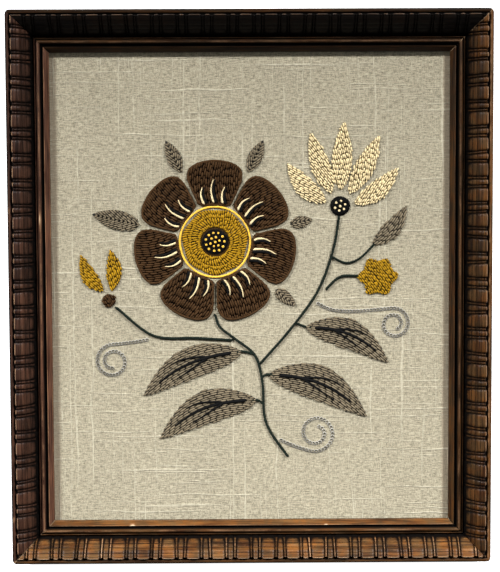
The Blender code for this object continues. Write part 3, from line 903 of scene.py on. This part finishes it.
def mitre(rail):
    """Close the rail's seam, cut both mitres and round the outer corners, in edit mode."""
    bpy.ops.object.mode_set(mode="EDIT")
    bpy.ops.mesh.select_all(action="SELECT")
    bpy.ops.mesh.remove_doubles(threshold=SAME_PLACE)
    turn = radians(rail.turn)
    for side in (-1, 1):
        corner = Vector(turn_rail(rail, np.array([[side * rail.length / 2, 0, 0]]))[0])
        direction = Vector((cos(turn) * side - sin(turn), sin(turn) * side + cos(turn), 0))
        inward = Vector((-cos(turn) * side - sin(turn), -sin(turn) * side + cos(turn), 0))
        opening = direction + inward * rail.gap / (RAIL_WIDTH * 2 ** 0.5)
        slice_off(corner - direction.normalized() * MITRE_HAIR, opening)
        for lean in CORNER_LEANS:
            heading = turn - pi / 2 + side * lean * pi / 2
            outward = Vector((cos(heading), sin(heading), 0))
            slice_off(corner + (inward + outward) * CORNER_ROUND, outward)
    bpy.ops.mesh.select_all(action="SELECT")
    bpy.ops.mesh.normals_make_consistent(inside=False)
    bpy.ops.object.mode_set(mode="OBJECT")


def make_rails(walnut):
    """The four carved rails."""
    for rail in RAILS:
        item = carve_rail(rail)
        mitre(rail)
        bpy.ops.object.shade_smooth_by_angle(angle=radians(52))
        settle(item, "carved_" + rail.name, walnut, [rail.name])


# Linen

def make_linen_sheet(material):
    """The stretched linen: a nearly flat sheet with a faint ripple."""
    across = round(LINEN_WIDTH / LINEN_CELL)
    upward = round(LINEN_HEIGHT / LINEN_CELL)
    item = start(bpy.ops.mesh.primitive_grid_add, x_subdivisions=across, y_subdivisions=upward,
                 size=1)
    flat = corners(item)
    flat[:, 0] *= LINEN_WIDTH
    flat[:, 1] *= LINEN_HEIGHT
    for place in flat:
        ripple = noise.noise(Vector((place[0] * RIPPLES_ACROSS, place[1] * RIPPLES_UP, 0.3)))
        place[2] = LINEN_TOP - LINEN_RIPPLE + LINEN_RIPPLE * ripple
    move_corners(item, flat)
    solid = item.modifiers.new("cloth thickness", "SOLIDIFY")
    solid.thickness = LINEN_THICKNESS
    solid.offset = -1
    bpy.ops.object.modifier_apply(modifier=solid.name)
    bpy.ops.object.shade_smooth_by_angle(angle=radians(40))
    settle(item, "linen_sheet", material, ["linen"])


# Outlines and lines on the cloth

def blade_outline(blade, steps=22):
    """A pointed leaf or petal about a bowed midline, as a closed ring of points."""
    share = np.arange(1, steps) / steps
    foot, along, across = blade_axes(blade)
    middle = beside_midline(blade, share, 0)
    half = blade.width / 2 * np.sin(pi * share ** BLADE_LEAN) ** BLADE_FULLNESS
    right = middle - half[:, None] * across
    left = middle + half[:, None] * across
    return np.vstack([foot, right, foot + along, left[::-1]])


def blade_axes(blade):
    """A blade's foot, its run to the tip, and the unit direction across it."""
    foot = np.array(blade.foot)
    along = np.array(blade.tip) - foot
    across = np.array([-along[1], along[0]]) / np.hypot(*along)
    return foot, along, across


def beside_midline(blade, share, offset):
    """Points at shares of a blade's length, offset sideways from its bowed midline."""
    foot, along, across = blade_axes(blade)
    return foot + np.outer(share, along) + np.outer(blade.bow * np.sin(pi * share) + offset, across)


def petal_bearing(index):
    """The direction from the flower's middle to a petal's, counted from the top one."""
    return pi / 2 + 2 * pi / PETALS * index


def rays(bearings):
    """Unit steps at each of several bearings, as rows."""
    return np.stack([np.cos(bearings), np.sin(bearings)], axis=1)


def petal_outline(bearing, steps=24):
    """A broad, round-ended petal of the large flower."""
    along = np.array([cos(bearing), sin(bearing)])
    across = np.array([-along[1], along[0]])
    share = np.sin(pi / 2 * np.arange(steps) / steps)
    reach = PETAL_INNER + (PETAL_OUTER - PETAL_INNER) * share
    half = (reach * tan(pi / PETALS) - PETAL_MARGIN) * (1 - share ** PETAL_SQUARE) ** PETAL_ROUND
    left = np.array(FLOWER) + np.outer(reach, along) + np.outer(half, across)
    right = np.array(FLOWER) + np.outer(reach, along) - np.outer(half, across)
    return np.vstack([right, np.array(FLOWER) + along * PETAL_OUTER, left[::-1]])


def round_outline(centre, radius, lobes, wave, steps):
    """A circle that may wave in and out, as a closed ring of points."""
    bearing = 2 * pi * np.arange(steps) / steps
    reach = radius + wave * np.cos(lobes * bearing - pi / 2 * lobes + pi)
    return np.array(centre) + rays(bearing) * reach[:, None]


def smooth_line(points, steps=10):
    """Points on a smooth line through the given ones."""
    padded = np.array([points[0]] + list(points) + [points[-1]], dtype=float)
    line = []
    for before, first, last, after in zip(padded, padded[1:], padded[2:], padded[3:]):
        for share in np.arange(steps) / steps:
            bend = (2 * before - 5 * first + 4 * last - after) * share ** 2
            twist = (3 * (first - last) + after - before) * share ** 3
            line.append((2 * first + (last - before) * share + bend + twist) / 2)
    return np.array(line + [padded[-1]])


def tendril_line(tendril):
    """Points along a tendril's lead and then round its spiral."""
    share = np.linspace(0, 1, round(40 * abs(tendril.turns)))
    bearing = radians(tendril.bearing) + 2 * pi * tendril.turns * share
    reach = tendril.radius + (tendril.end_radius - tendril.radius) * share
    spiral = np.array(tendril.centre) + rays(bearing) * reach[:, None]
    lead = smooth_line(list(tendril.lead) + [tuple(spiral[0])])
    return np.vstack([lead[:-1], spiral])


def inside(outline, points):
    """Which points lie within a closed outline."""
    x, y = points[:, :1], points[:, 1:]
    near, far = outline, np.roll(outline, -1, axis=0)
    rise = np.where(near[:, 1] == far[:, 1], 1e-12, far[:, 1] - near[:, 1])
    spans = (near[:, 1] > y) != (far[:, 1] > y)
    crossing = near[:, 0] + (y - near[:, 1]) / rise * (far[:, 0] - near[:, 0])
    return (spans & (x < crossing)).sum(axis=1) % 2 == 1


def edge_distance(outline, points):
    """How far each point lies from an outline."""
    near, far = outline, np.roll(outline, -1, axis=0)
    side = far - near
    reach = np.maximum((side ** 2).sum(axis=1), 1e-16)
    offset = points[:, None, :] - near
    share = np.clip((offset * side).sum(axis=2) / reach, 0, 1)
    gap = offset - share[:, :, None] * side
    return np.sqrt((gap ** 2).sum(axis=2).min(axis=1))


def pad_level(outlines, points):
    """How high the padding stands at each point."""
    deep = np.min([edge_distance(outline, points) for outline in outlines], axis=0)
    return LINEN_TOP + PAD_LOW + PAD_RISE * (1 - np.exp(-deep / PAD_SLOPE))


# Stitches

def take_shape(item, places, around):
    """A modelled shape to copy: its points, its faces in an order that stays, and its turns."""
    faces = sorted(tuple(face.vertices) for face in item.data.polygons)
    bpy.data.objects.remove(item, do_unlink=True)
    return places, faces, around


def model_stitch():
    """One stitch, modelled once: a rounded grain along X, 1 long, 1 wide and 1 high, bowed."""
    grain = start(bpy.ops.mesh.primitive_uv_sphere_add, segments=8, ring_count=6, radius=0.5)
    bpy.ops.object.mode_set(mode="EDIT")
    bpy.ops.mesh.select_all(action="SELECT")
    bpy.ops.transform.rotate(value=pi / 2, orient_axis="Y", center_override=(0, 0, 0))
    bpy.ops.object.mode_set(mode="OBJECT")
    places = corners(grain)
    reach = np.hypot(places[:, 1], places[:, 2])
    share = np.abs(places[:, 0]) * 2
    full = 0.5 * np.sqrt(np.maximum(1 - share ** STITCH_FULLNESS, 0))
    swell = np.where(reach > SAME_PLACE, full / np.maximum(reach, SAME_PLACE), 1)
    places[:, 1] *= swell
    places[:, 2] *= swell
    around = np.arctan2(places[:, 1], places[:, 2])
    places[:, 2] += 0.5 * (1 - share ** 2)
    return take_shape(grain, places, around)


def lay_copies(shape, ends, widths, heights, tones):
    """A shape copied between pairs of points: vertices, faces and what the yarn's colour reads."""
    places, faces, around = shape
    run = ends[:, 3:] - ends[:, :3]
    length = np.linalg.norm(run, axis=1)
    along = run / length[:, None]
    side = np.cross([0, 0, 1], along)
    side /= np.linalg.norm(side, axis=1)[:, None]
    up = np.cross(along, side)
    middle = (ends[:, :3] + ends[:, 3:]) / 2
    verts = (middle[:, None, :]
             + along[:, None, :] * (length[:, None] * places[:, 0])[:, :, None]
             + side[:, None, :] * (widths[:, None] * places[:, 1])[:, :, None]
             + up[:, None, :] * (heights[:, None] * places[:, 2])[:, :, None])
    count = len(places)
    all_faces = [tuple(corner + count * copy for corner in face)
                 for copy in range(len(ends)) for face in faces]
    starts = rng.uniform(0, 0.01, len(ends))
    strand = np.stack([
        starts[:, None] + length[:, None] * places[:, 0],
        np.broadcast_to(around, (len(ends), count)),
        np.broadcast_to(tones[:, None], (len(ends), count)),
    ], axis=2)
    return verts.reshape(-1, 3), all_faces, strand.reshape(-1, 3)


def pad_copies(outline):
    """The padding under an area: a low wall and a flat top, in the wool's darkest colour, painted shade
    that shows between the stitches.
    """
    near, far = np.roll(outline, 1, axis=0), np.roll(outline, -1, axis=0)
    tangent = far - near
    inward = np.stack([-tangent[:, 1], tangent[:, 0]], axis=1)
    inward /= np.linalg.norm(inward, axis=1)[:, None]
    count = len(outline)
    low = np.column_stack([outline + inward * PAD_FOOT_INSET, np.full(count, LINEN_TOP - PAD_SUNK)])
    top = np.column_stack([outline + inward * PAD_INSET,
                           np.full(count, LINEN_TOP + PAD_LOW + PAD_RISE * PAD_TOP_SHARE)])
    walls = [(i, (i + 1) % count, count + (i + 1) % count, count + i) for i in range(count)]
    faces = walls + [tuple(range(count, 2 * count))]
    # Painted shade: the padding takes the turn of a stitch's underside, the wool's darkest colour
    strand = np.tile([0.0, pi, 0.0], (2 * count, 1))
    return np.vstack([low, top]), faces, strand


def join_parts(name, parts, material, slot, nodes):
    """One piece out of several sets of vertices and faces."""
    verts, faces, strands, first = [], [], [], 0
    for part_verts, part_faces, part_strand in parts:
        verts.append(part_verts)
        faces += [tuple(corner + first for corner in face) for face in part_faces]
        strands.append(part_strand)
        first += len(part_verts)
    mesh = bpy.data.meshes.new(name)
    mesh.from_pydata(np.vstack(verts).tolist(), [], faces)
    item = bpy.data.objects.new(name, mesh)
    bpy.context.scene.collection.objects.link(item)
    store(item, "strand", np.vstack(strands))
    bpy.ops.object.select_all(action="DESELECT")
    bpy.context.view_layer.objects.active = item
    item.select_set(True)
    bpy.ops.object.shade_smooth()
    return settle(item, name, material, nodes)


def walk(line):
    """Distance run at each point of a line."""
    return np.concatenate([[0], np.hypot(*np.diff(line, axis=0).T).cumsum()])


def at(line, run, distances):
    """Points at given distances along a line."""
    return np.stack([np.interp(distances, run, line[:, 0]),
                     np.interp(distances, run, line[:, 1])], axis=1)


def split_row(row, within, length):
    """Straight stitches along the stretches of a row that lie within, as pairs of points."""
    pairs = []
    marks = np.flatnonzero(np.diff(np.concatenate([[0], within.astype(int), [0]])))
    for first, last in zip(marks[::2], marks[1::2]):
        piece = row[first:last]
        if len(piece) < 3:
            continue
        run = walk(piece)
        if run[-1] < length * SHORTEST_ROW:
            continue
        cuts = [0.0]
        step = length * rng.uniform(*FIRST_STITCH)
        while cuts[-1] + step < run[-1] - length * SHORTEST_STITCH:
            cuts.append(cuts[-1] + step)
            step = length * rng.uniform(*NEXT_STITCH)
        cuts.append(run[-1])
        points = at(piece, run, cuts)
        pairs += [np.concatenate(pair) for pair in zip(points, points[1:])]
    return pairs


def fill_rows(outlines, rows, fill):
    """Stitches along rows, cut off at the outlines and raised on the padding."""
    pairs = []
    for row in rows:
        within = inside(outlines[0], row)
        for hole in outlines[1:]:
            within &= ~inside(hole, row)
        pairs += split_row(row, within, fill.length)
    pairs = np.array(pairs)
    pairs += rng.normal(0, fill.stray, pairs.shape)
    count = len(pairs)
    ends = np.column_stack([pairs[:, :2], pad_level(outlines, pairs[:, :2]),
                            pairs[:, 2:], pad_level(outlines, pairs[:, 2:])])
    widths = fill.width * rng.uniform(*WIDTH_SPREAD, count)
    heights = fill.height * rng.uniform(*HEIGHT_SPREAD, count)
    return ends, widths, heights, rng.uniform(*fill.tones, count)


def straight_rows(outline, bearing, pitch):
    """Parallel straight rows over an outline's whole width."""
    along = np.array([cos(bearing), sin(bearing)])
    across = np.array([-along[1], along[0]])
    middle = outline.mean(axis=0)
    reach = np.abs(outline - middle).max() * 1.5
    steps = np.arange(-reach, reach, ROW_STEP)
    return [middle + across * offset + np.outer(steps, along)
            for offset in np.arange(-reach, reach, pitch)]


def bowed_rows(blade, pitch):
    """Rows beside a blade's midline, which bow as it does."""
    _, _, across = blade_axes(blade)
    midline = beside_midline(blade, np.linspace(-0.03, 1.03, 160), 0)
    count = int(blade.width / 2 / pitch) + 1
    return [midline + across * offset for offset in np.arange(-count, count + 0.5) * pitch]


def vein_rows(blade, pitch, lean):
    """Rows that leave a blade's midline on both sides and lean towards its tip."""
    foot, along, across = blade_axes(blade)
    length = np.hypot(*along)
    steps = np.arange(VEIN_START, blade.width, ROW_STEP)
    rows = []
    for begin in np.arange(-0.25, 1.0, pitch / sin(lean) / length):
        share = begin + steps * cos(lean) / length
        curve = blade.bow * np.sin(pi * np.clip(share, 0, 1))
        for side in (-1, 1):
            offset = curve + side * steps * sin(lean)
            rows.append(foot + np.outer(share, along) + np.outer(offset, across))
    return rows


# Worked areas

def area(name, outline, layers, wool, node):
    """One worked area: its padding and its layers of stitches."""
    parts = [pad_copies(outline)] + [lay_copies(STITCH, *layer) for layer in layers]
    return join_parts(name, parts, YARNS[wool], "wool_" + wool, [node])


def make_petals():
    """The large flower's brown petals: bowed rows of stitches inside a corded edge."""
    fill = FILLS["petal"]
    for index in range(PETALS):
        bearing = petal_bearing(index)
        ray = np.array([cos(bearing), sin(bearing)])
        blade = Blade("", tuple(np.array(FLOWER) + ray * PETAL_INNER),
                      tuple(np.array(FLOWER) + ray * PETAL_OUTER),
                      PETAL_ROWS_WIDTH, PETAL_ROWS_BOW, "brown")
        outline = petal_outline(bearing)
        rows = fill_rows([outline], bowed_rows(blade, fill.spacing), fill)
        ring = np.vstack([outline, outline[:1]])
        cord = ring + (outline.mean(axis=0) - ring) * PETAL_EDGE_INSET
        area(f"petal_stitches_{index + 1}", outline, [rows, rope_line(cord, ROPES["petal_edge"])],
             "brown", f"flower_petal_{index + 1}")


def stripe_lines():
    """The stripes' middle lines at the petals' feet, and the way to their left."""
    for index in range(PETALS):
        for turn, outer in STRIPES:
            share = np.linspace(0, 1, 20)
            reach = STRIPE_FOOT + (outer - STRIPE_FOOT) * share
            lean = turn * (1 - STRIPE_GATHER * share)
            ray = rays(petal_bearing(index) + lean + STRIPE_SWAY * np.sin(pi * share))
            side = np.stack([-ray[:, 1], ray[:, 0]], axis=1)
            yield np.array(FLOWER) + ray * reach[:, None], side


def make_petal_stripes():
    """Three tapered cream stripes with black shadows at the foot of each petal."""
    for wool, offset in STRIPE_OFFSETS.items():
        parts = [lay_copies(STITCH, *rope_line(line + side * offset, ROPES[wool + "_stripe"]))
                 for line, side in stripe_lines()]
        join_parts("petal_stripes_" + wool, parts, YARNS[wool], "wool_" + wool, [])


def make_sepals():
    """The pointed sepals between the petals."""
    fill = FILLS["sepal"]
    for index, sepal in enumerate(SEPALS):
        bearing = petal_bearing(sepal.after_petal + 0.5)
        ray = np.array([cos(bearing), sin(bearing)])
        blade = Blade("", tuple(np.array(FLOWER) + ray * SEPAL_INNER),
                      tuple(np.array(FLOWER) + ray * sepal.outer), sepal.width, 0, "taupe")
        outline = blade_outline(blade)
        rows = fill_rows([outline], vein_rows(blade, fill.spacing, SEPAL_LEAN), fill)
        area(f"sepal_stitches_{index + 1}", outline, [rows], "taupe", f"flower_sepal_{index + 1}")


def ring_rows(inner, outer, pitch):
    """Leaning rows between two circles about the flower's middle."""
    count = int(2 * pi * (inner + outer) / 2 / pitch)
    reach = np.linspace(inner, outer, 30)
    share = (reach - inner) / (outer - inner)
    return [np.array(FLOWER) + rays(angle + RING_SWEEP * share) * reach[:, None]
            for angle in 2 * pi * np.arange(count) / count]


def make_ring():
    """The gold ring round the heart, worked in two rounds that overlap, and its yellow cord."""
    fill = FILLS["ring"]
    outline = round_outline(FLOWER, RING_OUTER + RING_MARGIN, PETALS, RING_WAVE, 84)
    hole = round_outline(FLOWER, RING_INNER, 0, 0, 84)
    layers = [fill_rows([outline, hole], ring_rows(inner, outer, fill.spacing), fill)
              for inner, outer in RING_ROUNDS]
    area("ring_stitches", outline, layers, "gold", "flower_ring")
    circle = round_outline(FLOWER, RING_OUTER + RING_CORD_GAP, 0, 0, 120)
    cord = rope_line(np.vstack([circle, circle[:2]]), ROPES["ring_cord"])
    join_parts("ring_cord", [lay_copies(STITCH, *cord)], YARNS["yellow"], "wool_gold", [])


def make_blades():
    """Leaves, the cream flower's petals and the bud's petals."""
    for blade in BLADES:
        outline = blade_outline(blade)
        if blade.wool == "taupe":
            fill = FILLS["leaf"]
            rows = bowed_rows(blade, fill.spacing)
        else:
            fill = FILLS["small_petal"]
            _, along, _ = blade_axes(blade)
            bearing = np.arctan2(along[1], along[0]) + SMALL_PETAL_LEAN
            rows = straight_rows(outline, bearing, fill.spacing)
        area(blade.name + "_stitches", outline, [fill_rows([outline], rows, fill)], blade.wool,
             blade.name)


def side_vein(blade, side):
    """A line that leaves a leaf's midrib and curves away to one side."""
    first, last = SIDE_VEIN_RUN
    share = np.linspace(first, last, 24)
    reach = side * blade.width * SIDE_VEIN_SPREAD * np.sin(pi / 2 * (share - first) / (last - first))
    return beside_midline(blade, share, reach * SIDE_VEIN_SHARE)


def make_veins():
    """Tapered black veins on the larger leaves."""
    for blade in BLADES:
        if blade.wool == "taupe" and blade.width > VEINED_WIDTH:
            midrib = beside_midline(blade, np.linspace(*MIDRIB_RUN, 40), 0)
            layers = [rope_line(midrib, ROPES["midrib"])]
            layers += [rope_line(side_vein(blade, side), ROPES["side_vein"]) for side in (-1, 1)]
            parts = [lay_copies(STITCH, *layer) for layer in layers]
            join_parts(blade.name + "_veins", parts, YARNS["black"], "wool_black", [])


def make_discs():
    """The round worked areas."""
    for disc in DISCS:
        outline = round_outline(disc.centre, disc.radius, disc.lobes, disc.wave, 48)
        fill, bearing = FILLS["disc"], DISC_BEARING
        if disc.wool == "black":
            fill, bearing = FILLS["dark_disc"], DARK_DISC_BEARING
        rows = straight_rows(outline, bearing, fill.spacing)
        area(disc.name + "_stitches", outline, [fill_rows([outline], rows, fill)], disc.wool,
             disc.name)


def model_knot():
    """One knot of wool wound round itself, modelled once: 1 wide, with a dimple."""
    knot = start(bpy.ops.mesh.primitive_torus_add, major_segments=10, minor_segments=6,
                 major_radius=KNOT_RING, minor_radius=KNOT_THICK)
    places = corners(knot)
    around = np.arctan2(places[:, 1], places[:, 0]) * 0.3
    places[:, 2] += KNOT_THICK
    return take_shape(knot, places, around)


def make_knots():
    """Yellow knots on the flower's black heart, and cream ones on the cream flower's cup."""
    for group in KNOTS:
        spots = []
        for radius, count in group.rings:
            for bearing in 2 * pi * np.arange(count) / count + radius * KNOT_TURN:
                spots.append((group.centre[0] + radius * cos(bearing),
                              group.centre[1] + radius * sin(bearing)))
        spots = np.array(spots) + rng.normal(0, KNOT_STRAY, (len(spots), 2))
        count = len(spots)
        level = np.full(count, LINEN_TOP + KNOT_LEVEL)
        half = rng.uniform(*KNOT_HALF, count)
        ends = np.column_stack([spots[:, 0] - half, spots[:, 1], level,
                                spots[:, 0] + half, spots[:, 1], level])
        part = lay_copies(KNOT, ends, half * 2, half * KNOT_TALL, rng.uniform(*KNOT_TONES, count))
        join_parts(group.name, [part], YARNS[group.wool], group.slot, [])


# Worked lines

def lengthen(line, extra):
    """A line carried on straight at both ends."""
    head = line[0] - line[1]
    tail = line[-1] - line[-2]
    return np.vstack([line[0] + head / np.hypot(*head) * extra, line,
                      line[-1] + tail / np.hypot(*tail) * extra])


def rope_line(line, rope):
    """Stem stitch: each stitch starts beside the middle of the one before."""
    run = walk(line)
    starts = np.arange(0, run[-1] - rope.length * 0.5, rope.pitch)
    first = at(line, run, starts)
    last = at(line, run, np.minimum(starts + rope.length, run[-1]))
    along = last - first
    across = np.stack([-along[:, 1], along[:, 0]], axis=1)
    across /= np.linalg.norm(across, axis=1)[:, None]
    count = len(first)
    narrowing = np.linspace(1, rope.taper, count)
    shift = across * (rope.width * narrowing * ROPE_SHIFT)[:, None]
    rise = np.full(count, LINEN_TOP + rope.level)
    ends = np.column_stack([first - shift, rise, last + shift, rise])
    return (ends, rope.width * narrowing * rng.uniform(*ROPE_WIDTHS, count),
            rope.height * (0.7 + 0.3 * narrowing) * rng.uniform(*ROPE_HEIGHTS, count),
            rng.uniform(*rope.tones, count))


def make_stems():
    """Green stems, and the stalks that join the leaves to them."""
    for stem in STEMS:
        line = lengthen(smooth_line(stem.points), STEM_OVERRUN)
        part = lay_copies(STITCH, *rope_line(line, ROPES["stem"]))
        join_parts(stem.name + "_stitches", [part], YARNS["green"], "wool_green", [stem.name])
    parts = [lay_copies(STITCH, *rope_line(smooth_line(points), ROPES["stalk"]))
             for points in STALKS]
    join_parts("leaf_stalks", parts, YARNS["green"], "wool_green", [])


def model_chain_link():
    """One loop of chain stitch, modelled once: 1 long and 1 wide, pointed where it starts."""
    loop = start(bpy.ops.mesh.primitive_torus_add, major_segments=12, minor_segments=5,
                 major_radius=LINK_RING, minor_radius=LINK_THICK)
    places = corners(loop)
    share = places[:, 0] + 0.5
    around = np.arctan2(places[:, 2], np.hypot(places[:, 0], places[:, 1]) - LINK_RING)
    places[:, 1] *= LINK_FOOT + (1 - LINK_FOOT) * np.sin(pi * np.clip(share, 0, 1) ** 1.4)
    places[:, 2] = places[:, 2] * LINK_STRETCH + LINK_FOOT - (1 - LINK_FOOT) * (1 - share)
    return take_shape(loop, places, around)


def make_tendrils():
    """Grey tendrils in chain stitch."""
    for tendril in TENDRILS:
        line = tendril_line(tendril)
        run = walk(line)
        starts = np.arange(0, run[-1] - LINK_END, LINK_PITCH)
        first, last = at(line, run, starts), at(line, run, starts + LINK_LENGTH)
        count = len(first)
        level = np.full(count, LINEN_TOP)
        ends = np.column_stack([first, level, last, level])
        part = lay_copies(LINK, ends, np.full(count, LINK_WIDTH), np.full(count, LINK_HEIGHT),
                          rng.uniform(*LINK_TONES, count))
        join_parts(tendril.name + "_stitches", [part], YARNS["grey"], "wool_grey", [tendril.name])


# Studio

def make_camera():
    """The photograph's view: from above the picture, a little towards its top."""
    bpy.ops.object.camera_add(location=CAMERA_PLACE)
    camera = bpy.context.object
    camera.rotation_euler = [radians(angle) for angle in CAMERA_TURN]
    camera.data.lens = CAMERA_LENS
    camera.data.clip_start = 0.05
    bpy.context.scene.camera = camera


def make_lamp(name, towards):
    """A square soft lamp that faces the lower part of the picture."""
    place = Vector(towards).normalized() * LAMP_DISTANCE
    bpy.ops.object.light_add(type="AREA", location=place)
    lamp = bpy.context.object
    lamp.name = name
    lamp.rotation_euler = (place - Vector(LAMP_TARGET)).to_track_quat("Z", "Y").to_euler()
    lamp.data.size = LAMP_SIZE
    lamp.data.energy = LAMP_POWER
    lamp.data.spread = radians(LAMP_SPREAD)


def make_studio():
    """Camera, two lamps beyond the picture's top corners, a dim white room and the floor."""
    make_camera()
    for name, towards in LAMPS.items():
        make_lamp(name, towards)
    world = bpy.data.worlds.new("room")
    world.use_nodes = True
    world.node_tree.nodes["Background"].inputs["Color"].default_value = (1, 1, 1, 1)
    world.node_tree.nodes["Background"].inputs["Strength"].default_value = ROOM_LIGHT
    bpy.context.scene.world = world
    bpy.context.scene.view_settings.view_transform = "Standard"
    floor = start(bpy.ops.mesh.primitive_plane_add, size=FLOOR_SIZE)
    floor.name = "studio_floor"
    floor.data.materials.append(make_floor_paint())


make_studio()
make_rails(make_walnut())
make_linen_sheet(make_linen())
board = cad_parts["backing_board"]
board.material_slots[0].material = make_hardboard()
YARNS = {name: make_wool(name) for name in WOOLS}
STITCH = model_stitch()
LINK = model_chain_link()
KNOT = model_knot()
make_petals()
make_petal_stripes()
make_sepals()
make_ring()
make_blades()
make_veins()
make_discs()
make_knots()
make_stems()
make_tendrils()
